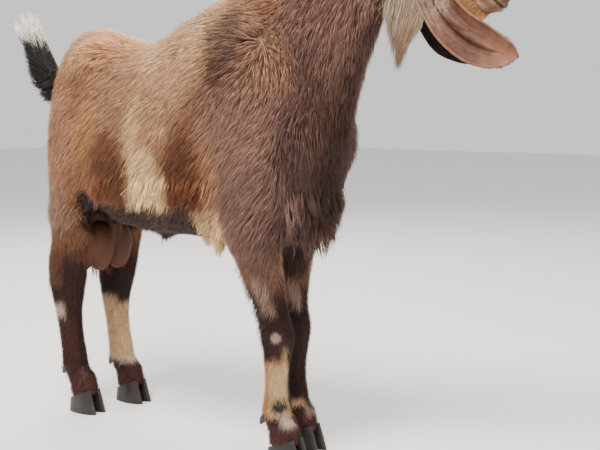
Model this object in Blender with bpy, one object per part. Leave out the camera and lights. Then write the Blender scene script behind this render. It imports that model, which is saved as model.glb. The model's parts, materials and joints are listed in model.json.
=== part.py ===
"""A life-size Nubian buck, standing square with the head turned a little to its left.

Metres, +Z up. The goat faces +X, its left side is +Y, and its soles stand on z = 0.
The solids give the outline out to the tips of the coat.
"""

import math
import random

import bmesh
import bpy
import numpy as np
from mathutils import Matrix, Vector
from mathutils.bvhtree import BVHTree

# The gap that neighbouring pieces keep
GAP = 0.0003

# Trunk: x along the back, height of the topline, height of the underline, half width
TRUNK = (
    (-0.692, 0.800, 0.640, 0.030),
    (-0.670, 0.848, 0.560, 0.080),
    (-0.635, 0.880, 0.500, 0.110),
    (-0.583, 0.893, 0.465, 0.135),
    (-0.490, 0.870, 0.442, 0.152),
    (-0.395, 0.849, 0.424, 0.163),
    (-0.300, 0.892, 0.428, 0.163),
    (-0.190, 0.938, 0.424, 0.152),
    (-0.090, 0.958, 0.420, 0.138),
    (-0.010, 0.940, 0.432, 0.122),
    (0.052, 0.830, 0.480, 0.095),
    (0.086, 0.700, 0.560, 0.050),
)
TRUNK_WIDEST = 0.45
TRUNK_TOP_ROUNDNESS = 1.75
TRUNK_BOTTOM_ROUNDNESS = 2.3

# Neck: centre, half depth and half width
NECK = (
    ((-0.050, 0.000, 0.700), 0.185, 0.112),
    ((0.022, 0.000, 0.806), 0.137, 0.096),
    ((0.080, 0.004, 0.890), 0.112, 0.080),
    ((0.125, 0.012, 0.960), 0.098, 0.071),
    ((0.163, 0.020, 1.018), 0.089, 0.066),
    ((0.208, 0.031, 1.060), 0.072, 0.058),
)

# The planes that part the neck from the trunk and the head from the neck
NECK_CUT, NECK_CUT_NORMAL = Vector((0.045, 0, 0.78)), Vector((0.86, 0, 0.51))
HEAD_CUT, HEAD_CUT_NORMAL = Vector((0.150, 0.016, 0.985)), Vector((0.58, 0.12, 0.80))
CELL_REACH = (0.6, 0.4)

# Right legs: centre line, then half depth and half width, from the trunk down to the coronet
FORELEG = (
    ((-0.030, 0.078, 0.660), 0.085, 0.050),
    ((-0.055, 0.084, 0.560), 0.092, 0.056),
    ((-0.066, 0.082, 0.490), 0.082, 0.054),
    ((-0.050, 0.076, 0.420), 0.058, 0.046),
    ((-0.030, 0.070, 0.350), 0.045, 0.038),
    ((-0.014, 0.066, 0.285), 0.037, 0.034),
    ((-0.006, 0.065, 0.250), 0.039, 0.035),
    ((-0.010, 0.065, 0.205), 0.033, 0.031),
    ((-0.010, 0.065, 0.150), 0.030, 0.028),
    ((-0.009, 0.065, 0.105), 0.036, 0.033),
    ((0.000, 0.065, 0.068), 0.032, 0.031),
    ((0.008, 0.065, 0.036), 0.037, 0.034),
    ((0.012, 0.065, 0.012), 0.037, 0.034),
)
HINDLEG = (
    ((-0.540, 0.075, 0.720), 0.100, 0.062),
    ((-0.545, 0.084, 0.640), 0.108, 0.070),
    ((-0.563, 0.086, 0.560), 0.092, 0.067),
    ((-0.593, 0.080, 0.480), 0.070, 0.055),
    ((-0.613, 0.073, 0.400), 0.057, 0.043),
    ((-0.633, 0.068, 0.335), 0.062, 0.040),
    ((-0.639, 0.065, 0.290), 0.057, 0.036),
    ((-0.639, 0.063, 0.240), 0.043, 0.032),
    ((-0.632, 0.062, 0.180), 0.036, 0.030),
    ((-0.619, 0.062, 0.115), 0.037, 0.032),
    ((-0.605, 0.062, 0.072), 0.032, 0.031),
    ((-0.593, 0.062, 0.038), 0.036, 0.034),
    ((-0.588, 0.062, 0.012), 0.036, 0.034),
)
# Where each foot stands away from the right-hand pattern: along x, and outwards
STANCE = {
    "fore_right": (0.0, 0.0),
    "fore_left": (-0.031, -0.032),
    "hind_right": (0.0, 0.0),
    "hind_left": (0.017, 0.006),
}
STANCE_FROM_HEIGHT = 0.52
STANCE_BLEND = 0.2

# Hooves
CORONET_FRONT = 0.046
CORONET_SLOPE = math.radians(22)
CLAW_LENGTH = 0.070
CLAW_WIDTH = 0.029
CLEFT = 0.004
TOE_LEAN = 0.016

# Head, in its own frame: origin at the poll, x towards the nose, z up from the face
POLL = Vector((0.232, 0.040, 1.113))
HEAD_YAW = math.radians(27)
HEAD_PITCH = math.radians(34)
# Along the head: x, top, bottom, half width, and how much wider it is above than below
HEAD = (
    (-0.045, -0.010, -0.135, 0.046, 0.05),
    (-0.010, 0.000, -0.145, 0.056, 0.10),
    (0.035, 0.012, -0.150, 0.064, 0.15),
    (0.075, 0.017, -0.145, 0.066, 0.22),
    (0.115, 0.015, -0.132, 0.054, 0.20),
    (0.160, 0.004, -0.120, 0.042, 0.12),
    (0.203, -0.016, -0.115, 0.037, 0.02),
    (0.235, -0.040, -0.116, 0.036, -0.05),
    (0.257, -0.062, -0.110, 0.031, -0.05),
    (0.270, -0.082, -0.100, 0.014, 0.0),
)
HEAD_ROUNDNESS = 2.2
EYE_PLACE = Vector((0.088, 0.047, -0.027))
EYE_RADIUS = 0.0165
LID_THICKNESS = 0.0024
EYE_LENGTH = 0.027
EYE_OPENING = 0.0165
NOSTRIL_PLACE = Vector((0.263, 0.0165, -0.069))
NOSTRIL_RADII = Vector((0.0115, 0.0060, 0.0036))
MOUTH_FRONT_X = 0.272
MOUTH_CORNER_X = 0.216
MOUTH_HEIGHT = -0.0935
MOUTH_CORNER_RISE = 0.006
LIP_GROOVE = 0.0022

# Ears: the middle line from the root to the tip, and sizes along it
EAR_ROOT = Vector((0.046, 0.050, -0.046))
EAR_PATH_RIGHT = (
    (0.283, -0.034, 1.038),
    (0.302, -0.053, 0.996),
    (0.328, -0.068, 0.942),
    (0.357, -0.082, 0.886),
    (0.402, -0.088, 0.837),
    (0.455, -0.086, 0.806),
    (0.513, -0.080, 0.790),
)
EAR_PATH_LEFT = (
    (0.202, 0.123, 1.038),
    (0.205, 0.138, 0.992),
    (0.207, 0.143, 0.939),
    (0.213, 0.142, 0.882),
    (0.243, 0.138, 0.842),
    (0.296, 0.134, 0.823),
    (0.352, 0.130, 0.817),
)
EAR_WIDTH = (
    (0.0, 0.048),
    (0.14, 0.053),
    (0.26, 0.062),
    (0.40, 0.070),
    (0.60, 0.075),
    (0.74, 0.077),
    (0.84, 0.074),
    (0.92, 0.058),
    (1.0, 0.018),
)
EAR_CURL = ((0.0, 5.0), (0.14, 4.2), (0.28, 3.0), (0.45, 2.4), (0.62, 2.1), (0.8, 1.6), (1.0, 0.9))
EAR_THICKNESS = 0.0042
EAR_EDGE = 0.0022

# Tail: middle line and radius of the core that its locks grow from
TAIL = (
    ((-0.655, 0.000, 0.768), 0.030),
    ((-0.700, 0.000, 0.758), 0.026),
    ((-0.742, 0.000, 0.765), 0.021),
    ((-0.778, 0.002, 0.795), 0.018),
    ((-0.806, 0.004, 0.832), 0.015),
    ((-0.828, 0.006, 0.860), 0.010),
)

# Scrotum: middle of each half and its radii
SCROTUM_HALF = Vector((-0.570, 0.029, 0.388))
SCROTUM_RADII = Vector((0.040, 0.032, 0.054))
SCROTUM_TIP_RADII = Vector((0.022, 0.020, 0.018))
SCROTUM_CORD = (
    ((-0.556, 0, 0.480), 0.034, 0.036),
    ((-0.562, 0, 0.440), 0.032, 0.034),
    ((-0.568, 0, 0.400), 0.036, 0.040),
)

# Masses that give each region its form: place and radii. Off the midline, y is a distance outwards
TRUNK_MASSES = (
    ((0.018, 0, 0.580), (0.066, 0.085, 0.100)),
    ((0.008, 0, 0.490), (0.072, 0.048, 0.045)),
    ((-0.405, 0, 0.428), (0.075, 0.022, 0.024)),
    ((-0.080, 0, 0.925), (0.090, 0.032, 0.045)),
)
FORE_MASSES = (
    ((0.028, 0.066, 0.640), (0.068, 0.052, 0.085)),
    ((-0.045, 0.098, 0.575), (0.080, 0.048, 0.085)),
    ((-0.105, 0.094, 0.520), (0.045, 0.034, 0.045)),
)
HIND_MASSES = (
    ((-0.548, 0.088, 0.650), (0.106, 0.061, 0.120)),
    ((-0.500, 0.098, 0.560), (0.062, 0.046, 0.080)),
    ((-0.520, 0.066, 0.790), (0.085, 0.060, 0.075)),
    ((-0.650, 0.058, 0.735), (0.026, 0.028, 0.045)),
)
# Masses on a leg itself: which station of its pattern, the offset from there, and radii
KNEE = (6, (0.012, 0, 0.004), (0.028, 0.033, 0.036))
HOCK = (5, (-0.034, 0, 0.006), (0.020, 0.018, 0.032))
DEWCLAW = (9, (-0.030, 0.016, -0.012), (0.012, 0.009, 0.013))
HEAD_MASSES = (
    ((0.082, 0.048, -0.008), (0.030, 0.017, 0.014)),
    ((0.098, 0.046, -0.050), (0.040, 0.012, 0.012)),
    ((0.048, 0.040, -0.092), (0.052, 0.024, 0.050)),
    ((0.248, 0.020, -0.065), (0.023, 0.016, 0.018)),
    ((0.248, 0.018, -0.086), (0.024, 0.019, 0.011)),
    ((0.230, 0.008, -0.108), (0.026, 0.021, 0.014)),
    ((0.006, 0.012, -0.012), (0.045, 0.030, 0.024)),
)
NAPE = ((0.168, 0.026, 1.071), (0.052, 0.044, 0.046))

# Hair locks: where rings lie along one, and how wide they are there
LOCK_RINGS = ((0.0, 0.70), (0.32, 1.0), (0.64, 0.82), (0.86, 0.45))
LOCK_ROOT_DEPTH = 0.011
HAIR_SEED = 7
# Fringe along the lower edge of the flank's coat
FRINGE_FROM, FRINGE_TO = -0.470, -0.120
FRINGE_COUNT = 12
FRINGE_TOP, FRINGE_BOTTOM = 0.572, 0.482
FRINGE_WIDTH = (0.032, 0.040)
FRINGE_THICKNESS = (0.009, 0.011)
FRINGE_LIFT = 0.007
# Tufts: middle of the root area, its half size, the fall from root to tip, count, width and thickness
BRISKET_TUFT = ((0.040, 0, 0.500), (0.028, 0.034, 0.020), (0.010, 0.0, -0.046), 8, 0.032, 0.010)
ELBOW_TUFT = ((-0.135, 0.095, 0.470), (0.014, 0.016, 0.014), (-0.010, 0.0, -0.056), 3, 0.028, 0.009)
CHIN_TUFT = ((0.220, 0, -0.116), (0.018, 0.013, 0.004), (-0.009, 0.0, -0.026), 7, 0.024, 0.009)
CHIN_CORE = ((0.220, 0.0, -0.116), (0.030, 0.020, 0.016))
# Beard: reach of its roots along the jaw, half width, and the height of the tips at its back and front
BEARD_FROM, BEARD_TO = -0.012, 0.112
BEARD_HALF_WIDTH = 0.028
BEARD_ROOT = -0.128
BEARD_TIPS = (0.768, 0.842)
BEARD_COUNT = 24
BEARD_LOCK = (0.034, 0.010)
BEARD_POINT = Vector((0.210, 0.026))
BEARD_GATHERING = 0.35
TAIL_LOCKS = 20
TAIL_LOCK = (0.027, 0.009)
TAIL_HAIR = 0.070

# Detail of the shared surfaces
BODY_VOXEL = 0.010
BODY_TRIANGLES = 3500
HEAD_VOXEL = 0.0045
HEAD_TRIANGLES = 1750
SCROTUM_VOXEL = 0.006
SCROTUM_TRIANGLES = 320
SMOOTHING = {"body": 5, "head": 4, "scrotum": 3}
TRUNK_STATIONS, TRUNK_CORNERS = 40, 32
HEAD_STATIONS, HEAD_CORNERS = 36, 28
CLAW_CORNERS = 14
# Ears: sections along one, and points across each face
EAR_STATIONS = 15
EAR_POINTS = 8

COLOURS = {
    "coat_brown": ((0.30, 0.19, 0.13, 1), 0.85),
    "coat_dark": ((0.07, 0.04, 0.035, 1), 0.85),
    "coat_grey": ((0.42, 0.38, 0.33, 1), 0.85),
    "ear_skin": ((0.36, 0.21, 0.16, 1), 0.7),
    "scrotum_skin": ((0.24, 0.13, 0.08, 1), 0.7),
    "hoof_horn": ((0.10, 0.09, 0.085, 1), 0.5),
    "eye": ((0.45, 0.30, 0.08, 1), 0.1),
}


def clear_scene():
    for obj in list(bpy.data.objects):
        bpy.data.objects.remove(obj, do_unlink=True)


def material(name):
    found = bpy.data.materials.get(name)
    if found:
        return found
    colour, roughness = COLOURS[name]
    made = bpy.data.materials.new(name)
    made.use_nodes = True
    shader = made.node_tree.nodes["Principled BSDF"]
    shader.inputs["Base Color"].default_value = colour
    shader.inputs["Roughness"].default_value = roughness
    shader.inputs["Metallic"].default_value = 0.0
    made.diffuse_color = colour
    return made


def add_object(name, mesh):
    obj = bpy.data.objects.new(name, mesh)
    bpy.context.scene.collection.objects.link(obj)
    return obj


def object_of(name, bm):
    """A new object from a bmesh, its faces pointing out."""
    bmesh.ops.recalc_face_normals(bm, faces=bm.faces)
    mesh = bpy.data.meshes.new(name)
    bm.to_mesh(mesh)
    bm.free()
    return add_object(name, mesh)


def drop(*objects):
    for obj in objects:
        bpy.data.objects.remove(obj, do_unlink=True)


def bake(obj):
    """Applies the object's modifiers and its transform."""
    bpy.context.view_layer.update()
    evaluated = obj.evaluated_get(bpy.context.evaluated_depsgraph_get())
    mesh = bpy.data.meshes.new_from_object(evaluated)
    obj.modifiers.clear()
    obj.data = mesh
    obj.data.transform(obj.matrix_world)
    obj.matrix_world = Matrix.Identity(4)
    return obj


def smooth_curve(keys, at):
    """The value at each place in `at` of a smooth curve through keys, rows of place then values."""
    keys = np.array(keys, float)
    places, values = keys[:, 0], keys[:, 1:]
    slopes = np.gradient(values, places, axis=0)
    at = np.clip(np.atleast_1d(at), places[0], places[-1])
    i = np.clip(np.searchsorted(places, at, side="right") - 1, 0, len(places) - 2)
    step = (places[i + 1] - places[i])[:, None]
    t = (at - places[i])[:, None] / step
    h00 = 2 * t**3 - 3 * t**2 + 1
    h10 = t**3 - 2 * t**2 + t
    h01 = -2 * t**3 + 3 * t**2
    h11 = t**3 - t**2
    return h00 * values[i] + h10 * step * slopes[i] + h01 * values[i + 1] + h11 * step * slopes[i + 1]


def along(points, values, count):
    """`count` even steps along a smooth line through points, each with its interpolated values."""
    points = np.array(points, float)
    values = np.array(values, float).reshape(len(points), -1)
    lengths = np.concatenate([[0], np.cumsum(np.linalg.norm(np.diff(points, axis=0), axis=1))])
    rows = np.hstack([lengths[:, None], points, values])
    made = smooth_curve(rows, np.linspace(0, lengths[-1], count))
    return made[:, :3], made[:, 3:]


def loft(name, rings):
    """A closed body through rings of points, all with the same count."""
    bm = bmesh.new()
    loops = [[bm.verts.new(p) for p in ring] for ring in rings]
    for low, high in zip(loops, loops[1:]):
        for i in range(len(low)):
            j = (i + 1) % len(low)
            bm.faces.new((low[i], low[j], high[j], high[i]))
    bm.faces.new(loops[0][::-1])
    bm.faces.new(loops[-1])
    return object_of(name, bm)


def superellipse(angle, roundness):
    c, s = math.cos(angle), math.sin(angle)
    power = 2 / roundness
    return math.copysign(abs(c) ** power, c), math.copysign(abs(s) ** power, s)


def limb(name, points, sizes, side=Vector((0, 1, 0)), steps=24, corners=20, roundness=2.0):
    """A tube of oval rings square to a smooth line. sizes are half depth and half width along `side`."""
    centres, sizes = along(points, sizes, steps)
    tangents = np.gradient(centres, axis=0)
    rings = []
    for centre, tangent, (depth, width) in zip(centres, tangents, sizes):
        tangent = Vector(tangent).normalized()
        front = side.cross(tangent).normalized()
        across = tangent.cross(front).normalized()
        ring = []
        for k in range(corners):
            c, s = superellipse(2 * math.pi * k / corners, roundness)
            ring.append(Vector(centre) + front * (depth * c) + across * (width * s))
        rings.append(ring)
    return loft(name, rings)


def ellipsoid(name, centre, radii, turn=None, detail=3):
    bm = bmesh.new()
    bmesh.ops.create_icosphere(bm, subdivisions=detail, radius=1.0)
    bmesh.ops.scale(bm, vec=radii, verts=bm.verts)
    matrix = Matrix.Translation(centre) @ (turn.to_4x4() if turn else Matrix.Identity(4))
    bmesh.ops.transform(bm, matrix=matrix, verts=bm.verts)
    return object_of(name, bm)


def sphere(name, centre, radius, segments=14, rings=9):
    bm = bmesh.new()
    bmesh.ops.create_uvsphere(bm, u_segments=segments, v_segments=rings, radius=radius)
    bmesh.ops.translate(bm, vec=centre, verts=bm.verts)
    return object_of(name, bm)


def box(name, low, high, matrix=None):
    bm = bmesh.new()
    bmesh.ops.create_cube(bm, size=1.0)
    low, high = Vector(low), Vector(high)
    bmesh.ops.scale(bm, vec=high - low, verts=bm.verts)
    bmesh.ops.translate(bm, vec=(low + high) / 2, verts=bm.verts)
    if matrix:
        bmesh.ops.transform(bm, matrix=matrix, verts=bm.verts)
    return object_of(name, bm)


def combine(target, pieces, operation="UNION", solver="MANIFOLD"):
    """Joins, cuts or trims target with closed pieces, which are then removed."""
    if not pieces:
        return target
    group = bpy.data.collections.new("pieces")
    bpy.context.scene.collection.children.link(group)
    for piece in pieces:
        group.objects.link(piece)
    boolean = target.modifiers.new("combine", "BOOLEAN")
    boolean.operation = operation
    boolean.solver = solver
    if len(pieces) == 1:
        boolean.object = pieces[0]
    else:
        boolean.operand_type = "COLLECTION"
        boolean.collection = group
    bake(target)
    drop(*pieces)
    bpy.data.collections.remove(group)
    return target


def copy_of(obj, name):
    return add_object(name, obj.data.copy())


def largest_body(obj):
    """Keeps only the largest closed surface."""
    bm = bmesh.new()
    bm.from_mesh(obj.data)
    bm.faces.ensure_lookup_table()
    left, bodies = set(bm.faces), []
    while left:
        stack = [left.pop()]
        body = set(stack)
        while stack:
            for edge in stack.pop().edges:
                for face in edge.link_faces:
                    if face in left:
                        left.discard(face)
                        body.add(face)
                        stack.append(face)
        bodies.append(body)
    keep = max(bodies, key=lambda body: sum(face.calc_area() for face in body))
    bmesh.ops.delete(bm, geom=[f for f in bm.faces if f not in keep], context="FACES")
    bm.to_mesh(obj.data)
    bm.free()
    return obj


def one_skin(name, pieces, voxel, smoothing, triangles):
    """Overlapping closed pieces made one smooth skin with about that many triangles."""
    bm = bmesh.new()
    for piece in pieces:
        bm.from_mesh(piece.data)
    drop(*pieces)
    skin = object_of(name, bm)
    remesh = skin.modifiers.new("skin", "REMESH")
    remesh.mode = "VOXEL"
    remesh.voxel_size = voxel
    soften = skin.modifiers.new("soften", "SMOOTH")
    soften.iterations = smoothing
    bake(skin)
    count = sum(len(polygon.vertices) - 2 for polygon in skin.data.polygons)
    thin = skin.modifiers.new("thin", "DECIMATE")
    thin.ratio = triangles / count
    thin.use_collapse_triangulate = True
    bake(skin)
    return largest_body(skin)


def grown(obj, amount, name="grown"):
    """A copy swollen by a small amount along its normals."""
    copy = copy_of(obj, name)
    swell = copy.modifiers.new("swell", "DISPLACE")
    swell.strength = amount
    swell.mid_level = 0.0
    return bake(copy)


def split(body, cell, name):
    """Parts the body along a cell, given as a function of how much it grows: returns what lies inside."""
    inside = copy_of(body, name)
    combine(inside, [cell(0.0)], "INTERSECT")
    combine(body, [cell(GAP)], "DIFFERENCE")
    largest_body(body)
    return largest_body(inside)


def trunk():
    places = np.linspace(TRUNK[0][0], TRUNK[-1][0], TRUNK_STATIONS)
    rings = []
    for x, (top, bottom, width) in zip(places, smooth_curve(TRUNK, places)):
        middle = bottom + (top - bottom) * TRUNK_WIDEST
        ring = []
        for k in range(TRUNK_CORNERS):
            angle = 2 * math.pi * k / TRUNK_CORNERS
            roundness = TRUNK_TOP_ROUNDNESS if math.cos(angle) > 0 else TRUNK_BOTTOM_ROUNDNESS
            up, out = superellipse(angle, roundness)
            height = (top - middle) if up > 0 else (middle - bottom)
            ring.append((x, width * out, middle + height * up))
        rings.append(ring)
    return loft("trunk", rings)


def neck(name="neck_mass"):
    points = [p for p, _, _ in NECK]
    sizes = [(depth, width) for _, depth, width in NECK]
    return limb(name, points, sizes, steps=20, corners=28)


def leg_pattern(name):
    """The centre line and sizes of a leg, with its own stance worked in below the elbow or stifle."""
    pattern = FORELEG if name.startswith("fore") else HINDLEG
    side = 1 if name.endswith("left") else -1
    forward, outward = STANCE[name]
    points = []
    for (x, y, z), _, _ in pattern:
        share = min(1.0, max(0.0, (STANCE_FROM_HEIGHT - z) / STANCE_BLEND))
        points.append((x + forward * share, side * (y + outward * share), z))
    return points, [(depth, width) for _, depth, width in pattern]


def leg(name):
    points, sizes = leg_pattern(name)
    return limb("leg_" + name, points, sizes, steps=48)


def masses(rows, side=None):
    """Ellipsoids for rows of place and radii, on one side or, without a side, where they stand."""
    return [ellipsoid("mass", Vector((x, y * (side or 1), z)), radii) for (x, y, z), radii in rows]


def leg_details(name):
    """Muscle, joint and dewclaw masses that lie on a leg."""
    points, _ = leg_pattern(name)
    side = 1 if name.endswith("left") else -1
    fore = name.startswith("fore")
    made = masses(FORE_MASSES if fore else HIND_MASSES, side)
    station, offset, radii = KNEE if fore else HOCK
    made.append(ellipsoid("joint", Vector(points[station]) + Vector(offset), radii))
    station, (back, out, drop_by), radii = DEWCLAW
    for across in (-out, out):
        made.append(ellipsoid("dewclaw", Vector(points[station]) + Vector((back, across, drop_by)), radii))
    return made


def scrotum_masses():
    made = []
    for side in (-1, 1):
        centre = Vector((SCROTUM_HALF.x, side * SCROTUM_HALF.y, SCROTUM_HALF.z))
        made.append(ellipsoid("testicle", centre, SCROTUM_RADII))
        tip = centre + Vector((0.004, -side * 0.006, -SCROTUM_RADII.z + 0.006))
        made.append(ellipsoid("testicle_tip", tip, SCROTUM_TIP_RADII))
    points = [point for point, _, _ in SCROTUM_CORD]
    sizes = [(depth, width) for _, depth, width in SCROTUM_CORD]
    made.append(limb("cord", points, sizes, steps=6))
    return made


def body():
    """The whole animal but the head, ears, eyes and hooves, as one skin."""
    pieces = [trunk(), neck()] + masses(TRUNK_MASSES)
    for name in STANCE:
        pieces += [leg(name)] + leg_details(name)
    return one_skin("torso", pieces, BODY_VOXEL, SMOOTHING["body"], BODY_TRIANGLES)


def arch_cell(x, z, radius, inner, outer, low, foot, side):
    """A cutter with a round top seen from the side: an arc about x, z that draws in to a foot."""

    def made(grow):
        bm = bmesh.new()
        reach = radius + grow
        outline = [(foot[1] + grow, low - grow)]
        for angle in np.linspace(0, math.pi, 17):
            outline.append((x + reach * math.cos(angle), z + reach * math.sin(angle)))
        outline.append((foot[0] - grow, low - grow))
        near, far = side * (inner - grow), side * (outer + grow)
        rings = [[bm.verts.new((px, y, pz)) for px, pz in outline] for y in (near, far)]
        for i in range(len(outline)):
            j = (i + 1) % len(outline)
            bm.faces.new((rings[0][i], rings[0][j], rings[1][j], rings[1][i]))
        bm.faces.new(rings[0][::-1])
        bm.faces.new(rings[1])
        return object_of("cell", bm)

    return made


def slab_cell(point, normal, reach, half_width):
    """A cutter that takes all on the far side of a plane, out to reach and half_width."""

    def made(grow):
        turn = Vector(normal).to_track_quat("X", "Z").to_matrix().to_4x4()
        low, high = (-grow, -half_width, -half_width), (reach, half_width, half_width)
        return box("cell", low, high, Matrix.Translation(point) @ turn)

    return made


# The space that each leg takes out of the trunk, seen from the side, and how low its inner wall reaches
LEG_CELLS = {
    "fore": dict(x=-0.040, z=0.575, radius=0.125, inner=0.040, outer=0.3, low=0.400, foot=(-0.110, 0.030)),
    "hind": dict(x=-0.590, z=0.650, radius=0.135, inner=0.036, outer=0.3, low=0.440, foot=(-0.740, -0.512)),
}
LEG_PARTING = 0.003
LEG_REACH = 0.2
LEG_OVERLAP = 0.004


def leg_cell(name):
    """The space of one leg: wide above, where only the outer muscle belongs to it."""
    sizes = LEG_CELLS["fore" if name.startswith("fore") else "hind"]
    side = 1 if name.endswith("left") else -1

    def made(grow):
        cell = arch_cell(side=side, **sizes)(grow)
        near, far = sorted((side * (LEG_PARTING - grow), side * (sizes["outer"] + grow)))
        back, front = sizes["x"] - LEG_REACH, sizes["x"] + LEG_REACH
        lower = box("cell", (back, near, -0.1), (front, far, sizes["low"] + LEG_OVERLAP + grow))
        return combine(cell, [lower])

    return made


def coronet_cell(name):
    """All of a leg above the sloping plane of its coronet."""
    points, _ = leg_pattern(name)
    foot = Vector(points[-1])
    normal = Vector((-math.sin(CORONET_SLOPE), 0, math.cos(CORONET_SLOPE)))
    point = Vector((foot.x + 0.03, foot.y, CORONET_FRONT))
    return slab_cell(point + normal * GAP, normal, 1.2, 1.0)


def claws(name):
    """The two claws of a foot, each a closed horn capsule with a flat sole."""
    points, _ = leg_pattern(name)
    foot = Vector(points[-1])
    side = 1 if name.endswith("left") else -1
    made = []
    for label, across in (("outer", side), ("inner", -side)):
        rings = []
        for share in (0.0, 0.45, 1.0):
            ring = []
            for k in range(CLAW_CORNERS):
                angle = 2 * math.pi * k / CLAW_CORNERS
                c, s = superellipse(angle, 2.3)
                narrow = 1.0 - 0.34 * max(0.0, c) ** 2
                x = foot.x + 0.5 * CLAW_LENGTH * c * (1 - 0.10 * share)
                x += TOE_LEAN * (1 - share) * (0.5 + 0.5 * c)
                width = 0.5 * CLAW_WIDTH * (1 - 0.06 * share) * narrow
                inset = across * 0.5 * CLAW_WIDTH * (1 - narrow) * 0.5
                y = foot.y + across * 0.5 * (CLAW_WIDTH + CLEFT) - inset + width * s
                top = CORONET_FRONT + (x - foot.x - 0.03) * math.tan(CORONET_SLOPE)
                ring.append((x, y, share * top))
            rings.append(ring)
        claw = loft(f"claw_{name}_{label}", rings)
        made.append(claw)
    return made


def head_matrix():
    yaw = Matrix.Rotation(HEAD_YAW, 4, "Z")
    pitch = Matrix.Rotation(HEAD_PITCH, 4, "Y")
    return Matrix.Translation(POLL) @ yaw @ pitch


def in_head(point, side=1):
    x, y, z = point
    return head_matrix() @ Vector((x, side * y, z))


def head_mass():
    """The skull, jaw, muzzle and a length of neck behind them."""
    places = np.linspace(HEAD[0][0], HEAD[-1][0], HEAD_STATIONS)
    rows = smooth_curve(HEAD, places)
    rings = []
    for x, (top, bottom, width, wedge) in zip(places, rows):
        middle, half = (top + bottom) / 2, (top - bottom) / 2
        ring = []
        for k in range(HEAD_CORNERS):
            up, out = superellipse(2 * math.pi * k / HEAD_CORNERS, HEAD_ROUNDNESS)
            ring.append((x, width * out * (1 + wedge * up), middle + half * up))
        rings.append([head_matrix() @ Vector(p) for p in ring])
    return loft("head_mass", rings)


def head_bumps():
    """Brow, cheekbone, cheek, nostril, lip, chin, poll and nape masses."""
    turn = head_matrix().to_3x3()
    made = masses([NAPE])
    for place, radii in HEAD_MASSES:
        made += [ellipsoid("bump", in_head(place, side), radii, turn) for side in (-1, 1)]
    return made


def almond(side, grow=0.0):
    """A prism the shape of the lids' opening, from the eye's middle outwards."""
    bm = bmesh.new()
    outward = Vector((0.25, side, 0.12)).normalized()
    forward = Vector((1, 0, -0.18))
    forward = (forward - outward * forward.dot(outward)).normalized()
    up = forward.cross(outward) * (-side)
    up = up if up.z > 0 else -up
    centre = Vector((EYE_PLACE.x, side * EYE_PLACE.y, EYE_PLACE.z))
    rings = []
    for depth in (0.004, 0.040):
        ring = []
        for k in range(12):
            angle = 2 * math.pi * k / 12
            along_eye = 0.5 * EYE_LENGTH * math.cos(angle)
            height = 0.5 * EYE_OPENING * math.sin(angle) * (1 - 0.25 * abs(math.cos(angle)))
            point = centre + outward * depth + forward * along_eye + up * height
            ring.append(bm.verts.new(head_matrix() @ point))
        rings.append(ring)
    for i in range(12):
        j = (i + 1) % 12
        bm.faces.new((rings[0][i], rings[0][j], rings[1][j], rings[1][i]))
    bm.faces.new(rings[0][::-1])
    bm.faces.new(rings[1])
    return object_of("almond", bm)


def surface_line(obj, places, side):
    """Where lines from the side, square to the head's middle plane, meet the surface at head-frame places."""
    tree = BVHTree.FromObject(obj, bpy.context.evaluated_depsgraph_get())
    found = []
    for x, z in places:
        start = in_head((x, 0.15, z), side)
        hit = tree.ray_cast(start, (in_head((x, 0, z)) - start).normalized())[0]
        if hit:
            found.append(hit)
    return found


def groove(name, points, radius):
    """A thin round bar along points, to cut a crease."""
    sizes = [(radius, radius)] * len(points)
    return limb(name, points, sizes, side=Vector((0.3, 0.2, 1)).normalized(), steps=14, corners=6)


def mouth(head):
    """The crease between the lips, on both sides."""
    cutters = []
    for side in (-1, 1):
        places = []
        for share in np.linspace(0, 1, 8):
            x = MOUTH_CORNER_X + (MOUTH_FRONT_X - 0.006 - MOUTH_CORNER_X) * share
            places.append((x, MOUTH_HEIGHT + MOUTH_CORNER_RISE * (1 - share) ** 2))
        points = surface_line(head, places, side)
        points.append(in_head((MOUTH_FRONT_X + 0.002, 0.001, MOUTH_HEIGHT), side))
        cutters.append(groove("crease", points, LIP_GROOVE))
    return cutters


def nostrils():
    turn = head_matrix().to_3x3()
    made = []
    for side in (-1, 1):
        rise = Matrix.Rotation(math.radians(-38), 3, "Y")
        flare = Matrix.Rotation(side * math.radians(28), 3, "Z")
        place = in_head(NOSTRIL_PLACE, side)
        made.append(ellipsoid("nostril", place, NOSTRIL_RADII, turn @ rise @ flare, 2))
    return made


def head():
    """The head with lids, eye sockets, nostrils, lips and the roots of the ears."""
    pieces = [head_mass(), neck()] + head_bumps()
    skull = one_skin("head", pieces, HEAD_VOXEL, SMOOTHING["head"], HEAD_TRIANGLES)
    combine(skull, [head_cell()(0.0)], "INTERSECT")
    lids, cuts = [], []
    for side in (-1, 1):
        centre = in_head(EYE_PLACE, side)
        lids.append(sphere("lid", centre, EYE_RADIUS + LID_THICKNESS))
        cuts.append(sphere("socket", centre, EYE_RADIUS + GAP))
        cuts.append(almond(side))
    combine(skull, lids)
    combine(skull, cuts + nostrils() + mouth(skull), "DIFFERENCE")
    return largest_body(skull)


def head_cell():
    return slab_cell(HEAD_CUT, HEAD_CUT_NORMAL, *CELL_REACH)


def eyes():
    made = []
    for side, label in ((-1, "right"), (1, "left")):
        made.append(sphere("eye_" + label, in_head(EYE_PLACE, side), EYE_RADIUS))
    return made


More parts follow.
